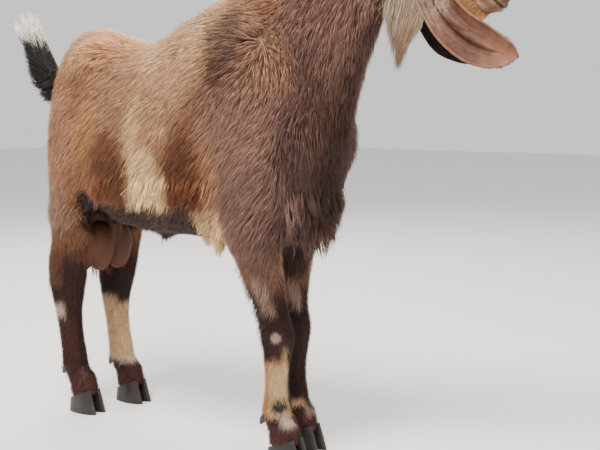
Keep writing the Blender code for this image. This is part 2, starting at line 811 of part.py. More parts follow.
def ear_frames(side):
    """Places along an ear with the directions across it and out of its cup."""
    path = EAR_PATH_RIGHT if side < 0 else EAR_PATH_LEFT
    points = [in_head(EAR_ROOT, side)] + list(path)
    centres, _ = along(points, [0] * len(points), EAR_STATIONS)
    tangents = np.gradient(centres, axis=0)
    sideways = head_matrix().to_3x3() @ Vector((0, side, 0))
    frames = []
    for centre, tangent in zip(centres, tangents):
        tangent = Vector(tangent).normalized()
        opening = (sideways - tangent * sideways.dot(tangent)).normalized()
        across = tangent.cross(opening).normalized()
        frames.append((Vector(centre), tangent, opening, across))
    return frames


def ear_ring(frame, share):
    """One curled section of the ear: out along its back, and home along its cup."""
    centre, _, opening, across = frame
    width = float(smooth_curve(EAR_WIDTH, share)[0, 0])
    curl = float(smooth_curve(EAR_CURL, share)[0, 0])
    radius = width / curl
    back, cup = [], []
    for k in range(EAR_POINTS):
        t = k / (EAR_POINTS - 1) - 0.5
        angle = curl * t
        direction = opening * -math.cos(angle) + across * math.sin(angle)
        axis = centre + opening * radius
        half = 0.5 * (EAR_EDGE + (EAR_THICKNESS - EAR_EDGE) * (1 - (2 * t) ** 2))
        back.append(axis + direction * (radius + half))
        cup.append(axis + direction * (radius - half))
    return back + cup[::-1]


def ear(side, neighbours):
    label = "left" if side > 0 else "right"
    frames = ear_frames(side)
    shares = np.linspace(0, 1, len(frames))
    rings = [ear_ring(frame, share) for frame, share in zip(frames, shares)]
    bm = bmesh.new()
    loops = [[bm.verts.new(p) for p in ring] for ring in rings]
    count, half = len(rings[0]), len(rings[0]) // 2
    for low, high in zip(loops, loops[1:]):
        for i in range(count):
            j = (i + 1) % count
            if i < half - 1 or i >= half and i < count - 1:
                if i < half:
                    bm.faces.new((low[i], low[j], high[i]))
                    bm.faces.new((low[j], high[j], high[i]))
                else:
                    bm.faces.new((low[i], low[j], high[j]))
                    bm.faces.new((low[i], high[j], high[i]))
            else:
                bm.faces.new((low[i], low[j], high[j], high[i]))
    for loop in (loops[0], loops[-1]):
        for i in range(half - 1):
            bm.faces.new((loop[i], loop[i + 1], loop[count - 2 - i], loop[count - 1 - i]))
    made = object_of("ear_" + label, bm)
    combine(made, [grown(n, GAP) for n in neighbours], "DIFFERENCE")
    return largest_body(made)


def lock(root, middle, tip, width, thickness, outward):
    """A flat, tapered lock of hair that bends from its root past middle to its tip."""
    bm = bmesh.new()
    rings = []
    for share, size in LOCK_RINGS:
        centre = root * (1 - share) ** 2 + middle * (2 * share * (1 - share)) + tip * share**2
        tangent = ((middle - root) * (1 - share) + (tip - middle) * share).normalized()
        across = tangent.cross(outward).normalized() * (0.5 * width * size)
        front = across.cross(tangent).normalized() * (0.5 * thickness * size)
        rings.append([bm.verts.new(centre + way) for way in (across, front, -across, -front)])
    end = bm.verts.new(tip)
    for low, high in zip(rings, rings[1:]):
        for i in range(4):
            j = (i + 1) % 4
            bm.faces.new((low[i], low[j], high[j]))
            bm.faces.new((low[i], high[j], high[i]))
    for i in range(4):
        bm.faces.new((rings[-1][i], rings[-1][(i + 1) % 4], end))
    bm.faces.new(rings[0][::-1])
    return object_of("lock", bm)


def surface_of(obj):
    return BVHTree.FromObject(obj, bpy.context.evaluated_depsgraph_get())


def fringe(torso, draw):
    """Locks that hang from the lower edge of the flank's coat, on both sides."""
    tree = surface_of(torso)
    made = []
    for side in (-1, 1):
        for k in range(FRINGE_COUNT):
            x = FRINGE_FROM + (FRINGE_TO - FRINGE_FROM) * (k + draw.uniform(0.2, 0.8)) / FRINGE_COUNT
            top = FRINGE_TOP + draw.uniform(-0.012, 0.012)
            bottom = FRINGE_BOTTOM + draw.uniform(-0.014, 0.010)
            spots = []
            lifts = (-LOCK_ROOT_DEPTH, FRINGE_LIFT, FRINGE_LIFT)
            for height, lift in zip((top, (top + bottom) / 2, bottom), lifts):
                hit, normal, _, _ = tree.ray_cast(Vector((x, side * 0.5, height)), Vector((0, -side, 0)))
                spots.append(hit + normal * lift)
            spots[2].x += draw.uniform(-0.020, 0.004)
            outward = Vector((0, side, -0.2))
            sizes = draw.uniform(*FRINGE_WIDTH), draw.uniform(*FRINGE_THICKNESS)
            made.append(lock(*spots, *sizes, outward))
    return made


def tuft(obj, rows, draw, side=1, place=None):
    """Locks that start inside obj round a place and hang past its surface."""
    middle, half, fall, count, width, thickness = rows
    place = place or (lambda point: Vector((point[0], side * point[1], point[2])))
    tree = surface_of(obj)
    made = []
    for k in range(count):
        spread = [2 * (k + 0.5) / count - 1, draw.uniform(-1, 1), draw.uniform(-1, 1)]
        draw.shuffle(spread)
        start = place([m + h * s for m, h, s in zip(middle, half, spread)])
        hit, normal, _, _ = tree.find_nearest(start)
        root = hit - normal * LOCK_ROOT_DEPTH
        reach = Vector((fall[0], side * fall[1], fall[2])) * draw.uniform(0.8, 1.15)
        tip = hit + reach + normal * 0.010
        bend = hit + reach * 0.45 + normal * 0.014
        made.append(lock(root, bend, tip, width * draw.uniform(0.85, 1.15), thickness, normal))
    return made


def tail(torso, draw):
    """The tail's core with locks that sweep towards its tip, and its end split in two."""
    core = limb("tail", [p for p, _ in TAIL], [(r, r) for _, r in TAIL], steps=9, corners=8)
    places, radii = along([p for p, _ in TAIL], [r for _, r in TAIL], TAIL_LOCKS + 6)
    locks = []
    for k in range(TAIL_LOCKS):
        at, ahead = Vector(places[k + 5]), Vector(places[k + 5]) - Vector(places[k + 4])
        forward = ahead.normalized()
        turn = 2.4 * k + draw.uniform(-0.3, 0.3)
        side = Vector((0, 1, 0))
        up = forward.cross(side).normalized()
        out = side * math.cos(turn) + up * math.sin(turn)
        radius = radii[k + 5][0]
        length = TAIL_HAIR * draw.uniform(0.85, 1.1)
        tip = at + forward * length + out * (radius + draw.uniform(0.004, 0.012))
        bend = at + forward * (0.4 * length) + out * (radius + 0.010)
        locks.append(lock(at + out * (radius * 0.2), bend, tip, *TAIL_LOCK, out))
    combine(core, locks)
    combine(core, [grown(torso, GAP)], "DIFFERENCE")
    return largest_body(core)


def chin_tuft(skull, draw):
    """The short tuft under the chin: locks from a small core that lies against the jaw."""
    place, radii = CHIN_CORE
    core = ellipsoid("chin_tuft", in_head(place), radii, head_matrix().to_3x3(), 2)
    combine(core, tuft(skull, CHIN_TUFT, draw, place=in_head))
    combine(core, [grown(skull, GAP)], "DIFFERENCE")
    return largest_body(core)


def beard(neighbours, draw):
    """The long hair of the throat: a short core under the jaw with locks that hang past it."""
    top = in_head(((BEARD_FROM + BEARD_TO) / 2, 0, BEARD_ROOT + 0.030))
    foot = in_head(((BEARD_FROM + BEARD_TO) / 2 - 0.006, 0, BEARD_ROOT)) - Vector((0, 0, 0.055))
    across = head_matrix().to_3x3() @ Vector((0, 1, 0))
    sizes = [(0.052, 0.026), (0.044, 0.024), (0.020, 0.012)]
    core = limb("beard", [top, (top + foot) / 2, foot], sizes, side=across, steps=6, corners=10)
    locks = []
    for k in range(BEARD_COUNT):
        share = (k + 0.5) / BEARD_COUNT
        out = draw.uniform(-1, 1)
        reach = BEARD_FROM + (BEARD_TO - BEARD_FROM) * share
        start = in_head((reach, out * BEARD_HALF_WIDTH, BEARD_ROOT + 0.004))
        low = BEARD_TIPS[0] if share < 0.62 else BEARD_TIPS[1]
        height = low + draw.uniform(-0.012, 0.020) + 0.03 * abs(out) ** 2
        spot = start.xy.lerp(BEARD_POINT, BEARD_GATHERING)
        tip = Vector((spot.x, spot.y, height)) + across * (0.006 * out)
        bend = (start + tip) / 2 + across * (0.010 * out) + Vector((draw.uniform(-0.006, 0.006), 0, 0))
        locks.append(lock(start, bend, tip, *BEARD_LOCK, across * (1 if out > 0 else -1)))
    combine(core, locks)
    combine(core, [grown(n, GAP) for n in neighbours], "DIFFERENCE")
    return largest_body(core)


def finish(obj, slot):
    obj.data.materials.clear()
    obj.data.materials.append(material(slot))
    obj.data.shade_smooth()
    obj.data.set_sharp_from_angle(angle=math.radians(50))
    return obj


def stand_on_origin(objects):
    """Moves everything so that the box round it is centred on the origin, soles on z = 0."""
    corners = [v.co for obj in objects for v in obj.data.vertices]
    low = Vector([min(c[i] for c in corners) for i in range(3)])
    high = Vector([max(c[i] for c in corners) for i in range(3)])
    shift = Vector((-(low.x + high.x) / 2, -(low.y + high.y) / 2, 0.0))
    for obj in objects:
        obj.data.transform(Matrix.Translation(shift))
    return shift


def scrotum(torso, hind_legs):
    """The scrotum, which makes its own room in the belly."""
    sizes = SCROTUM_VOXEL, SMOOTHING["scrotum"], SCROTUM_TRIANGLES
    sac = one_skin("scrotum", scrotum_masses(), *sizes)
    combine(sac, [grown(n, GAP) for n in hind_legs], "DIFFERENCE")
    combine(torso, [grown(sac, GAP)], "DIFFERENCE")
    largest_body(torso)
    return largest_body(sac)


def goat():
    draw = random.Random(HAIR_SEED)
    torso = body()
    skull = head()
    combine(torso, [head_cell()(GAP)], "DIFFERENCE")
    largest_body(torso)
    neck_part = split(torso, slab_cell(NECK_CUT, NECK_CUT_NORMAL, *CELL_REACH), "neck")
    nodes = [(torso, "coat_brown"), (neck_part, "coat_brown"), (skull, "coat_brown")]
    for name in STANCE:
        part = split(torso, leg_cell(name), "leg_" + name)
        combine(part, [coronet_cell(name)(0.0)], "INTERSECT")
        nodes.append((largest_body(part), "coat_dark"))
        nodes += [(claw, "hoof_horn") for claw in claws(name)]
    elbows = tuft(torso, ELBOW_TUFT, draw, -1) + tuft(torso, ELBOW_TUFT, draw, 1)
    combine(torso, fringe(torso, draw) + tuft(torso, BRISKET_TUFT, draw) + elbows)
    largest_body(torso)
    legs = [obj for obj, _ in nodes if obj.name.startswith("leg_")]
    combine(torso, [grown(n, GAP) for n in legs], "DIFFERENCE")
    largest_body(torso)
    nodes.append((tail(torso, draw), "coat_dark"))
    nodes.append((chin_tuft(skull, draw), "coat_grey"))
    nodes.append((scrotum(torso, [n for n in legs if "hind" in n.name]), "scrotum_skin"))
    for side in (-1, 1):
        nodes.append((ear(side, [skull, neck_part]), "ear_skin"))
    nodes += [(eye, "eye") for eye in eyes()]
    nodes.append((beard([skull, neck_part, torso], draw), "coat_grey"))
    for obj, slot in nodes:
        finish(obj, slot)
    stand_on_origin([obj for obj, _ in nodes])


clear_scene()
goat()
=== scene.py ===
"""A Nubian buck in its coat: one skin, eyes, ears and hooves, and the hair as solid tufts."""

import json
import math

import bmesh
import bpy
import numpy as np
from mathutils import Matrix, Vector
from mathutils.bvhtree import BVHTree
from mathutils.kdtree import KDTree

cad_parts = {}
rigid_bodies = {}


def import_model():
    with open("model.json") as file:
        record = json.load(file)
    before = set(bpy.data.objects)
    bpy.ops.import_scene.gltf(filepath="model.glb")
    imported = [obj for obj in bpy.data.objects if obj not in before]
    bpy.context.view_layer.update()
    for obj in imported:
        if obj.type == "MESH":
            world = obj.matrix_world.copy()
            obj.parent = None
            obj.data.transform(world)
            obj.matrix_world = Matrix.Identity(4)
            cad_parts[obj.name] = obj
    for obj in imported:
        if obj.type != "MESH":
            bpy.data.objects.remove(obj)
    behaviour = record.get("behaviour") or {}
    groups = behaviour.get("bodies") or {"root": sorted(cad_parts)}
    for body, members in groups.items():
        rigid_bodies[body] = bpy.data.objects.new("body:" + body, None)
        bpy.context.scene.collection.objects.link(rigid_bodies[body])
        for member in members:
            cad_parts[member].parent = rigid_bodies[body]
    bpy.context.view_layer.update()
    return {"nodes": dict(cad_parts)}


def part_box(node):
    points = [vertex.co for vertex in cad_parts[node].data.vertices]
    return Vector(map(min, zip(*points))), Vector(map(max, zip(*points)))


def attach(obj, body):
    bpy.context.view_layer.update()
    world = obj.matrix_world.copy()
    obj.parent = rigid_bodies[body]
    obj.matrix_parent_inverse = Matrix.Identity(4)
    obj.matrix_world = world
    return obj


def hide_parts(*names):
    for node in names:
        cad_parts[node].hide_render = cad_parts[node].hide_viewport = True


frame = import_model()

# The head's own frame, as the solids have it: origin at the poll, x towards the nose, z up from the face
POLL = Vector((0.232, 0.040, 1.113))
HEAD_TURN = Matrix.Rotation(math.radians(27), 3, "Z") @ Matrix.Rotation(math.radians(34), 3, "Y")
EYE_PLACE = Vector((0.088, 0.047, -0.027))
EYE_RADIUS = 0.0165


def middle_of(node):
    low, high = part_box(node)
    return (Vector(low) + Vector(high)) / 2


# Places below are measured from the floor under the front of the withers; the frame's origin lies elsewhere
EYES_MIDDLE = POLL + HEAD_TURN @ Vector((EYE_PLACE.x, 0, EYE_PLACE.z))
SHIFT = (middle_of("eye_right") + middle_of("eye_left")) / 2 - EYES_MIDDLE
LEGS = ("fore_right", "fore_left", "hind_right", "hind_left")

FLESH = ("torso", "neck", "head", *("leg_" + leg for leg in LEGS), "scrotum")
BODY_VOXEL = 0.006
HEAD_VOXEL = 0.0016
ERODE_BAND = 0.020
ERODE_SHARE = 0.35
ERODED = ERODE_BAND * ERODE_SHARE

# Ears, as the solids have them: middle lines from root to tip and sizes along them
EAR_ROOT = Vector((0.046, 0.050, -0.046))
EAR_PATHS = {
    "right": (
        (0.283, -0.034, 1.038), (0.302, -0.053, 0.996), (0.328, -0.068, 0.942), (0.357, -0.082, 0.886),
        (0.402, -0.088, 0.837), (0.455, -0.086, 0.806), (0.513, -0.080, 0.790),
    ),
    "left": (
        (0.202, 0.123, 1.038), (0.205, 0.138, 0.992), (0.207, 0.143, 0.939), (0.213, 0.142, 0.882),
        (0.243, 0.138, 0.842), (0.296, 0.134, 0.823), (0.352, 0.130, 0.817),
    ),
}
EAR_WIDTH = (
    (0.0, 0.048), (0.14, 0.053), (0.26, 0.062), (0.40, 0.070), (0.60, 0.075),
    (0.74, 0.077), (0.84, 0.074), (0.92, 0.058), (0.97, 0.036), (1.0, 0.006),
)
EAR_CURL = (
    (0.0, 6.1), (0.10, 5.6), (0.18, 4.4), (0.28, 3.2), (0.45, 2.4), (0.62, 2.1), (0.8, 1.6), (1.0, 0.9),
)
EAR_THICKNESS = 0.0036
EAR_EDGE = 0.0018

TAIL = (
    (-0.655, 0.000, 0.768), (-0.700, 0.000, 0.758), (-0.742, 0.000, 0.765),
    (-0.778, 0.002, 0.795), (-0.806, 0.004, 0.832), (-0.828, 0.006, 0.860),
)
TAIL_RADII = (0.026, 0.022, 0.018, 0.015, 0.012, 0.008)
# Where the forelegs' half of the body ends
HALFWAY = -0.3

SEED = 11


def in_head(point, side=1):
    x, y, z = point
    return POLL + SHIFT + HEAD_TURN @ Vector((x, side * y, z))


def at(point):
    return Vector(point) + SHIFT


def design(points):
    """Rows of the frame's places, measured as the values here are."""
    return points - np.array(SHIFT)


def new_object(name, mesh):
    obj = bpy.data.objects.new(name, mesh)
    bpy.context.scene.collection.objects.link(obj)
    return obj


def from_bmesh(bm, name):
    mesh = bpy.data.meshes.new(name)
    bm.to_mesh(mesh)
    bm.free()
    return new_object(name, mesh)


def drop(*objects):
    for obj in objects:
        bpy.data.objects.remove(obj, do_unlink=True)


def bake(obj):
    """Applies the object's modifiers."""
    bpy.context.view_layer.update()
    evaluated = obj.evaluated_get(bpy.context.evaluated_depsgraph_get())
    mesh = bpy.data.meshes.new_from_object(evaluated)
    obj.modifiers.clear()
    obj.data = mesh
    return obj


def modify(obj, kind, **values):
    modifier = obj.modifiers.new(kind.lower(), kind)
    for key, value in values.items():
        setattr(modifier, key, value)
    return modifier


def coordinates(mesh):
    values = np.empty(len(mesh.vertices) * 3, np.float32)
    mesh.vertices.foreach_get("co", values)
    return values.reshape(-1, 3).astype(float)


def set_coordinates(mesh, points):
    mesh.vertices.foreach_set("co", np.asarray(points, np.float32).ravel())
    mesh.update()


def normals(mesh):
    values = np.empty(len(mesh.vertices) * 3, np.float32)
    mesh.vertices.foreach_get("normal", values)
    return values.reshape(-1, 3).astype(float)


def unit(v):
    return v / np.maximum(np.linalg.norm(v, axis=-1, keepdims=True), 1e-9)


def smoothstep(low, high, x):
    t = np.clip((x - low) / (high - low), 0, 1)
    return t * t * (3 - 2 * t)


def fall(low, high, x):
    """1 below low and 0 above high."""
    return 1 - smoothstep(low, high, x)


def bell(x, width):
    """1 at 0, falling off on both sides."""
    return np.exp(-((x / width) ** 2))


def smooth_curve(keys, where):
    """Values at each place of a smooth curve through keys, rows of place then values."""
    keys = np.array(keys, float)
    places, values = keys[:, 0], keys[:, 1:]
    slopes = np.gradient(values, places, axis=0)
    where = np.clip(np.atleast_1d(where), places[0], places[-1])
    i = np.clip(np.searchsorted(places, where, side="right") - 1, 0, len(places) - 2)
    step = (places[i + 1] - places[i])[:, None]
    t = (where - places[i])[:, None] / step
    from_here = (2 * t**3 - 3 * t**2 + 1) * values[i] + (t**3 - 2 * t**2 + t) * step * slopes[i]
    return from_here + (3 * t**2 - 2 * t**3) * values[i + 1] + (t**3 - t**2) * step * slopes[i + 1]


def along(points, count):
    """Even steps along a smooth line through points."""
    points = np.array(points, float)
    lengths = np.concatenate([[0], np.cumsum(np.linalg.norm(np.diff(points, axis=0), axis=1))])
    return smooth_curve(np.hstack([lengths[:, None], points]), np.linspace(0, lengths[-1], count))


def waves(points, size, seed, octaves=3):
    """Smooth noise, about -1 to 1, whose largest features are about size across."""
    rng = np.random.default_rng(seed)
    total, weight, scale = 0.0, 0.0, 1.0
    for _ in range(octaves):
        turns = unit(rng.normal(size=(9, 3))) * (2 * math.pi * scale / size) * rng.uniform(0.6, 1.3, (9, 1))
        phases = rng.uniform(0, 2 * math.pi, 9)
        total = total + np.sin(points @ turns.T + phases).mean(axis=1) * 2.2 / scale
        weight += 1 / scale
        scale *= 2
    return total / weight


def linear(red, green, blue):
    """A colour as seen on a screen, 0 to 255, in the scene's linear values."""
    c = np.array([red, green, blue], float) / 255
    return np.where(c <= 0.04045, c / 12.92, ((c + 0.055) / 1.055) ** 2.4)


def toward(a, b, share):
    """a where share is 0 and b where it is 1."""
    return a + (b - a) * share


def mix(a, b, share):
    """The same for colours or directions, with a share for each row."""
    return toward(a, b, share[:, None])


def local_head(points):
    """Points in the head's frame."""
    return (points - np.array(POLL + SHIFT)) @ np.array(HEAD_TURN)


def head_share(points):
    """1 on the head, 0 from a little way down the neck."""
    h = local_head(points)
    ahead = smoothstep(-0.105, -0.045, h[:, 0] - 0.35 * np.minimum(h[:, 2] + 0.06, 0))
    return ahead * smoothstep(-0.22, -0.17, h[:, 2])


def leg_share(points):
    """1 on the lower legs, 0 above the elbow and stifle."""
    p = design(points)
    top = np.where(p[:, 0] > HALFWAY, 0.50, 0.52)
    return fall(top - 0.14, top, p[:, 2])


def coat_depth(points):
    """How far the coat's tips stand off the skin."""
    p, h = design(points), local_head(points)
    depth = 0.021 + 0.004 * smoothstep(0.05, 0.12, p[:, 0]) * smoothstep(0.45, 0.6, p[:, 2])
    depth = toward(depth, 0.012, fall(0.44, 0.50, p[:, 2]))
    depth = toward(depth, 0.0095 - 0.0030 * fall(0.24, 0.40, p[:, 2]), leg_share(points))
    depth = depth + 0.0015 * fall(0.045, 0.085, p[:, 2])
    depth = toward(depth, 0.0016, on_scrotum(p))
    return toward(depth, 0.009 - 0.0064 * smoothstep(-0.04, 0.05, h[:, 0]), head_share(points))


def near_eye(points):
    """1 on the lids, 0 from a finger's width away."""
    found = np.zeros(len(points))
    for side in (-1, 1):
        away = np.linalg.norm(points - np.array(in_head(EYE_PLACE, side)), axis=1)
        found = np.maximum(found, fall(EYE_RADIUS + 0.004, EYE_RADIUS + 0.012, away))
    return found


def joined(names, name):
    """One mesh of the solids of these nodes."""
    bm = bmesh.new()
    for node in names:
        bm.from_mesh(frame["nodes"][node].data)
    bmesh.ops.remove_doubles(bm, verts=bm.verts, dist=1e-6)
    return from_bmesh(bm, name)


def eroded(obj, name):
    """The surface that lies a little inside obj, which leaves out its thin locks."""
    volume = new_object("volume", bpy.data.volumes.new("volume"))
    sizes = dict(resolution_mode="VOXEL_SIZE", voxel_size=BODY_VOXEL, interior_band_width=ERODE_BAND)
    modify(volume, "MESH_TO_VOLUME", object=obj, density=1.0, **sizes)
    inner = new_object(name, bpy.data.meshes.new(name))
    level = dict(resolution_mode="GRID", threshold=ERODE_SHARE, adaptivity=0.0)
    modify(inner, "VOLUME_TO_MESH", object=volume, **level)
    bake(inner)
    drop(volume)
    return inner


def sink(obj, already):
    """Moves the surface in from the solids' outline to the skin under the coat."""
    points, out = coordinates(obj.data), normals(obj.data)
    depth = (coat_depth(points) - already) * (1 - near_eye(points))
    set_coordinates(obj.data, points - out * depth[:, None])


def cut_by_plane(obj, point, normal, keep_far):
    """Keeps what lies on one side of a plane and closes it."""
    bm = bmesh.new()
    bm.from_mesh(obj.data)
    geometry = bm.verts[:] + bm.edges[:] + bm.faces[:]
    sides = dict(clear_inner=keep_far, clear_outer=not keep_far)
    cut = bmesh.ops.bisect_plane(bm, geom=geometry, plane_co=point, plane_no=normal, **sides)
    edges = [e for e in cut["geom_cut"] if isinstance(e, bmesh.types.BMEdge)]
    bmesh.ops.contextual_create(bm, geom=edges)
    bmesh.ops.triangulate(bm, faces=[f for f in bm.faces if len(f.verts) > 4])
    bm.to_mesh(obj.data)
    bm.free()
    obj.data.update()


def ring_of(bm, centre, first, second, corners):
    """Corners round a centre, through the ends of two arms."""
    angles = [2 * math.pi * k / corners for k in range(corners)]
    return [bm.verts.new(centre + first * math.cos(a) + second * math.sin(a)) for a in angles]


def bridge(bm, loops):
    """Faces from each ring of corners to the next."""
    for low, high in zip(loops, loops[1:]):
        for i in range(len(low)):
            j = (i + 1) % len(low)
            bm.faces.new((low[i], low[j], high[j], high[i]))


def tube(name, path, radii, steps, corners):
    """A round closed tube along a smooth line."""
    centres = along([at(p) for p in path], steps)
    sizes = np.interp(np.linspace(0, 1, steps), np.linspace(0, 1, len(radii)), radii)
    bm = bmesh.new()
    loops = []
    for centre, tangent, radius in zip(centres, unit(np.gradient(centres, axis=0)), sizes):
        up = unit(np.cross(tangent, np.array([0.0, 1.0, 0.0])))
        loops.append(ring_of(bm, centre, radius * up, radius * np.cross(up, tangent), corners))
    bridge(bm, loops)
    bm.faces.new(loops[0][::-1])
    bm.faces.new(loops[-1])
    bmesh.ops.recalc_face_normals(bm, faces=bm.faces)
    return from_bmesh(bm, name)


def combine(target, operation, *pieces):
    """Joins solids to the target, or cuts them out of it, one by one."""
    for piece in pieces:
        modify(target, "BOOLEAN", operation=operation, solver="MANIFOLD", object=piece)
        bake(target)
        drop(piece)
    return target


HEAD_CUT, HEAD_CUT_NORMAL = Vector((0.150, 0.016, 0.985)), Vector((0.58, 0.12, 0.80))
HEAD_OVERLAP = 0.012


def eye_axes(side):
    """An eye's middle and the ways out of it, forwards and up across it, in the head's frame."""
    out = unit(np.array([0.25, side, 0.12]))
    forward = np.array([1.0, 0.0, -0.18])
    forward = unit(forward - out * forward.dot(out))
    up = np.cross(forward, out) * -side
    return np.array([EYE_PLACE.x, side * EYE_PLACE.y, EYE_PLACE.z]), out, forward, up


def lid_reach(x, below):
    """How far the opening reaches up or down at a share of the way along it."""
    return EYE_OPENING / 2 * np.where(below, 0.86, 1.06) * (1 - 0.25 * np.clip(np.abs(x), 0, 1))


EYE_LENGTH = 0.0275
EYE_OPENING = 0.0175
LID_THICKNESS = 0.0026
LID_WIDTH = 0.0050
LID_BLEND = 0.0095
LID_FOLD = 0.0011
LID_RIM = 0.0013
LID_STEPS = 56
SOCKET_DEPTH = 0.0045


def eye_line(along_eye, height):
    """How far out of the opening a place on the eye is: 1 on the edge of the lids."""
    x = along_eye / (EYE_LENGTH / 2)
    return np.sqrt(x**2 + (height / lid_reach(x, height < 0)) ** 2)


def past_lids(h, side):
    """Offset from an eye's middle, eye_line, height, how far past the opening, and if on the outer side."""
    middle, out, forward, up = eye_axes(side)
    d = h - middle
    x, y = d @ forward, d @ up
    line = eye_line(x, y)
    return d, line, y, np.hypot(x, y) * (1 - 1 / np.maximum(line, 1)), d @ out > 0.0


def open_eyes(h):
    """Draws the skin in behind the eyeball, and over it as lids."""
    for side in (-1, 1):
        d, line, y, past, outside = past_lids(h, side)
        away = np.linalg.norm(d, axis=1)
        lid = EYE_RADIUS + LID_THICKNESS - 0.0008 * fall(0.0, 0.002, past)
        fold = -LID_FOLD * bell(past - LID_WIDTH, 0.0012) * smoothstep(-0.002, 0.002, y)
        wanted = np.where(line < 1, EYE_RADIUS - SOCKET_DEPTH, lid)
        wanted = toward(wanted, away, smoothstep(LID_WIDTH, LID_WIDTH + LID_BLEND, past)) + fold
        use = outside & (away < 0.045)
        h[use] = eye_axes(side)[0] + unit(d[use]) * wanted[use, None]
    return h


def line_distance(points, line):
    """The distance of points from a broken line."""
    line = np.array(line, float)
    best = np.full(len(points), np.inf)
    for a, b in zip(line, line[1:]):
        t = np.clip((points - a) @ (b - a) / ((b - a) @ (b - a)), 0, 1)
        best = np.minimum(best, np.linalg.norm(points - a - t[:, None] * (b - a), axis=1))
    return best


MOUTH_LINE = ((0.2165, -0.0865), (0.2248, -0.0895), (0.2393, -0.0925), (0.257, -0.0940), (0.2724, -0.0935))
MOUTH_CORNER = MOUTH_LINE[0][0] - 0.003
LIP_GROOVE = 0.0036


def above_mouth(h):
    """How far over the line between the lips places on the head are."""
    return h[:, 2] - np.interp(h[:, 0], [x for x, _ in MOUTH_LINE], [z for _, z in MOUTH_LINE])


def on_parting(h, width):
    """1 on the line between the lips, from its corners forwards."""
    return bell(above_mouth(h), width) * smoothstep(MOUTH_CORNER, MOUTH_CORNER + 0.0065, h[:, 0])


def carve_mouth(h, out):
    """The crease between the lips, the lips that swell along it and the groove above."""
    inside = smoothstep(MOUTH_CORNER, MOUTH_CORNER + 0.011, h[:, 0])
    above = above_mouth(h)
    lips = 0.0010 * bell(np.abs(above) - 0.0062, 0.0042) - LIP_GROOVE * bell(above, 0.0016)
    part = bell(h[:, 1], 0.0016) * smoothstep(0.2555, 0.2676, h[:, 0]) * smoothstep(0.0, 0.004, above)
    return h + out * (lips * inside - 0.0016 * part * fall(0.016, 0.022, above))[:, None]


FACE_MASSES = (
    ((0.249, 0.024, -0.062), (0.013, 0.010, 0.013), 0.0022),
    ((0.110, 0.050, -0.045), (0.050, 0.020, 0.006), 0.0018),
    ((0.160, 0.040, -0.058), (0.060, 0.020, 0.006), 0.0012),
    ((0.045, 0.055, -0.085), (0.040, 0.030, 0.030), 0.0030),
    ((0.088, 0.045, -0.003), (0.024, 0.020, 0.007), 0.0016),
    ((0.203, 0.034, -0.040), (0.045, 0.014, 0.008), -0.0012),
    ((0.115, 0.050, -0.078), (0.030, 0.020, 0.012), -0.0016),
    ((0.060, 0.030, 0.010), (0.020, 0.016, 0.016), 0.0014),
    ((0.231, 0.000, -0.114), (0.020, 0.016, 0.012), 0.0016),
)


def shape_face(h, out):
    """Soft masses and hollows of the face: nostril wings, cheekbone, cheek, brow, chin."""
    for (x, y, z), radii, rise in FACE_MASSES:
        for side in (-1, 1):
            e = (h - np.array([x, side * y, z])) / np.array(radii)
            h = h + out * (rise * np.exp(-(e * e).sum(axis=1)))[:, None]
    return h


def sculpt(obj):
    """Works the face into the smooth head: masses, lips, wrinkles and lids."""
    turn = np.array(HEAD_TURN)
    h, out = local_head(coordinates(obj.data)), normals(obj.data) @ turn
    h = carve_mouth(shape_face(h, out), out)
    wrinkles = waves(h * np.array([2.2, 1, 1]), 0.011, SEED, 2) * smoothstep(0.20, 0.247, h[:, 0])
    h = h + out * 0.0005 * (waves(h, 0.03, SEED + 1, 3) + wrinkles)[:, None]
    set_coordinates(obj.data, open_eyes(h) @ turn.T + np.array(POLL + SHIFT))


NOSTRIL = (
    ((0.2690, 0.0088, -0.0788), 0.0018),
    ((0.2674, 0.0112, -0.0755), 0.0033),
    ((0.2620, 0.0180, -0.0685), 0.0038),
    ((0.2540, 0.0250, -0.0640), 0.0033),
    ((0.2455, 0.0290, -0.0640), 0.0018),
)


def near_surface(obj, points, depth):
    """The same points moved to lie at a depth under the surface."""
    tree = BVHTree.FromObject(obj, bpy.context.evaluated_depsgraph_get())
    found = [tree.find_nearest(point) for point in points]
    return [place - normal * depth for place, normal, _, _ in found]


def lid_ring(side):
    """The line round an eye's opening."""
    middle, out, forward, up = eye_axes(side)
    angles = 2 * math.pi * np.arange(LID_STEPS) / LID_STEPS
    x = EYE_LENGTH / 2 * np.cos(angles)
    y = lid_reach(np.cos(angles), np.sin(angles) < 0) * np.sin(angles)
    lift = np.sqrt(np.maximum(EYE_RADIUS**2 - x * x - y * y, 0))
    ways = unit(np.stack([x, y, lift], axis=1) @ np.array([forward, up, out]))
    return middle + ways * (EYE_RADIUS + 0.0009)


def nostrils(obj):
    """Comma-shaped cutters for the nostrils, sunk a little under the skin's surface."""
    made = []
    for side in (-1, 1):
        line = near_surface(obj, [in_head(p, side) for p, _ in NOSTRIL], 0.0006)
        made.append(tube("nostril", [p - SHIFT for p in line], [r for _, r in NOSTRIL], 18, 12))
        inner = near_surface(obj, [in_head(p, side) for p, _ in NOSTRIL[1:4]], 0.0050)
        made.append(tube("nostril", [p - SHIFT for p in inner], (0.0020, 0.0040, 0.0022), 10, 12))
    return made


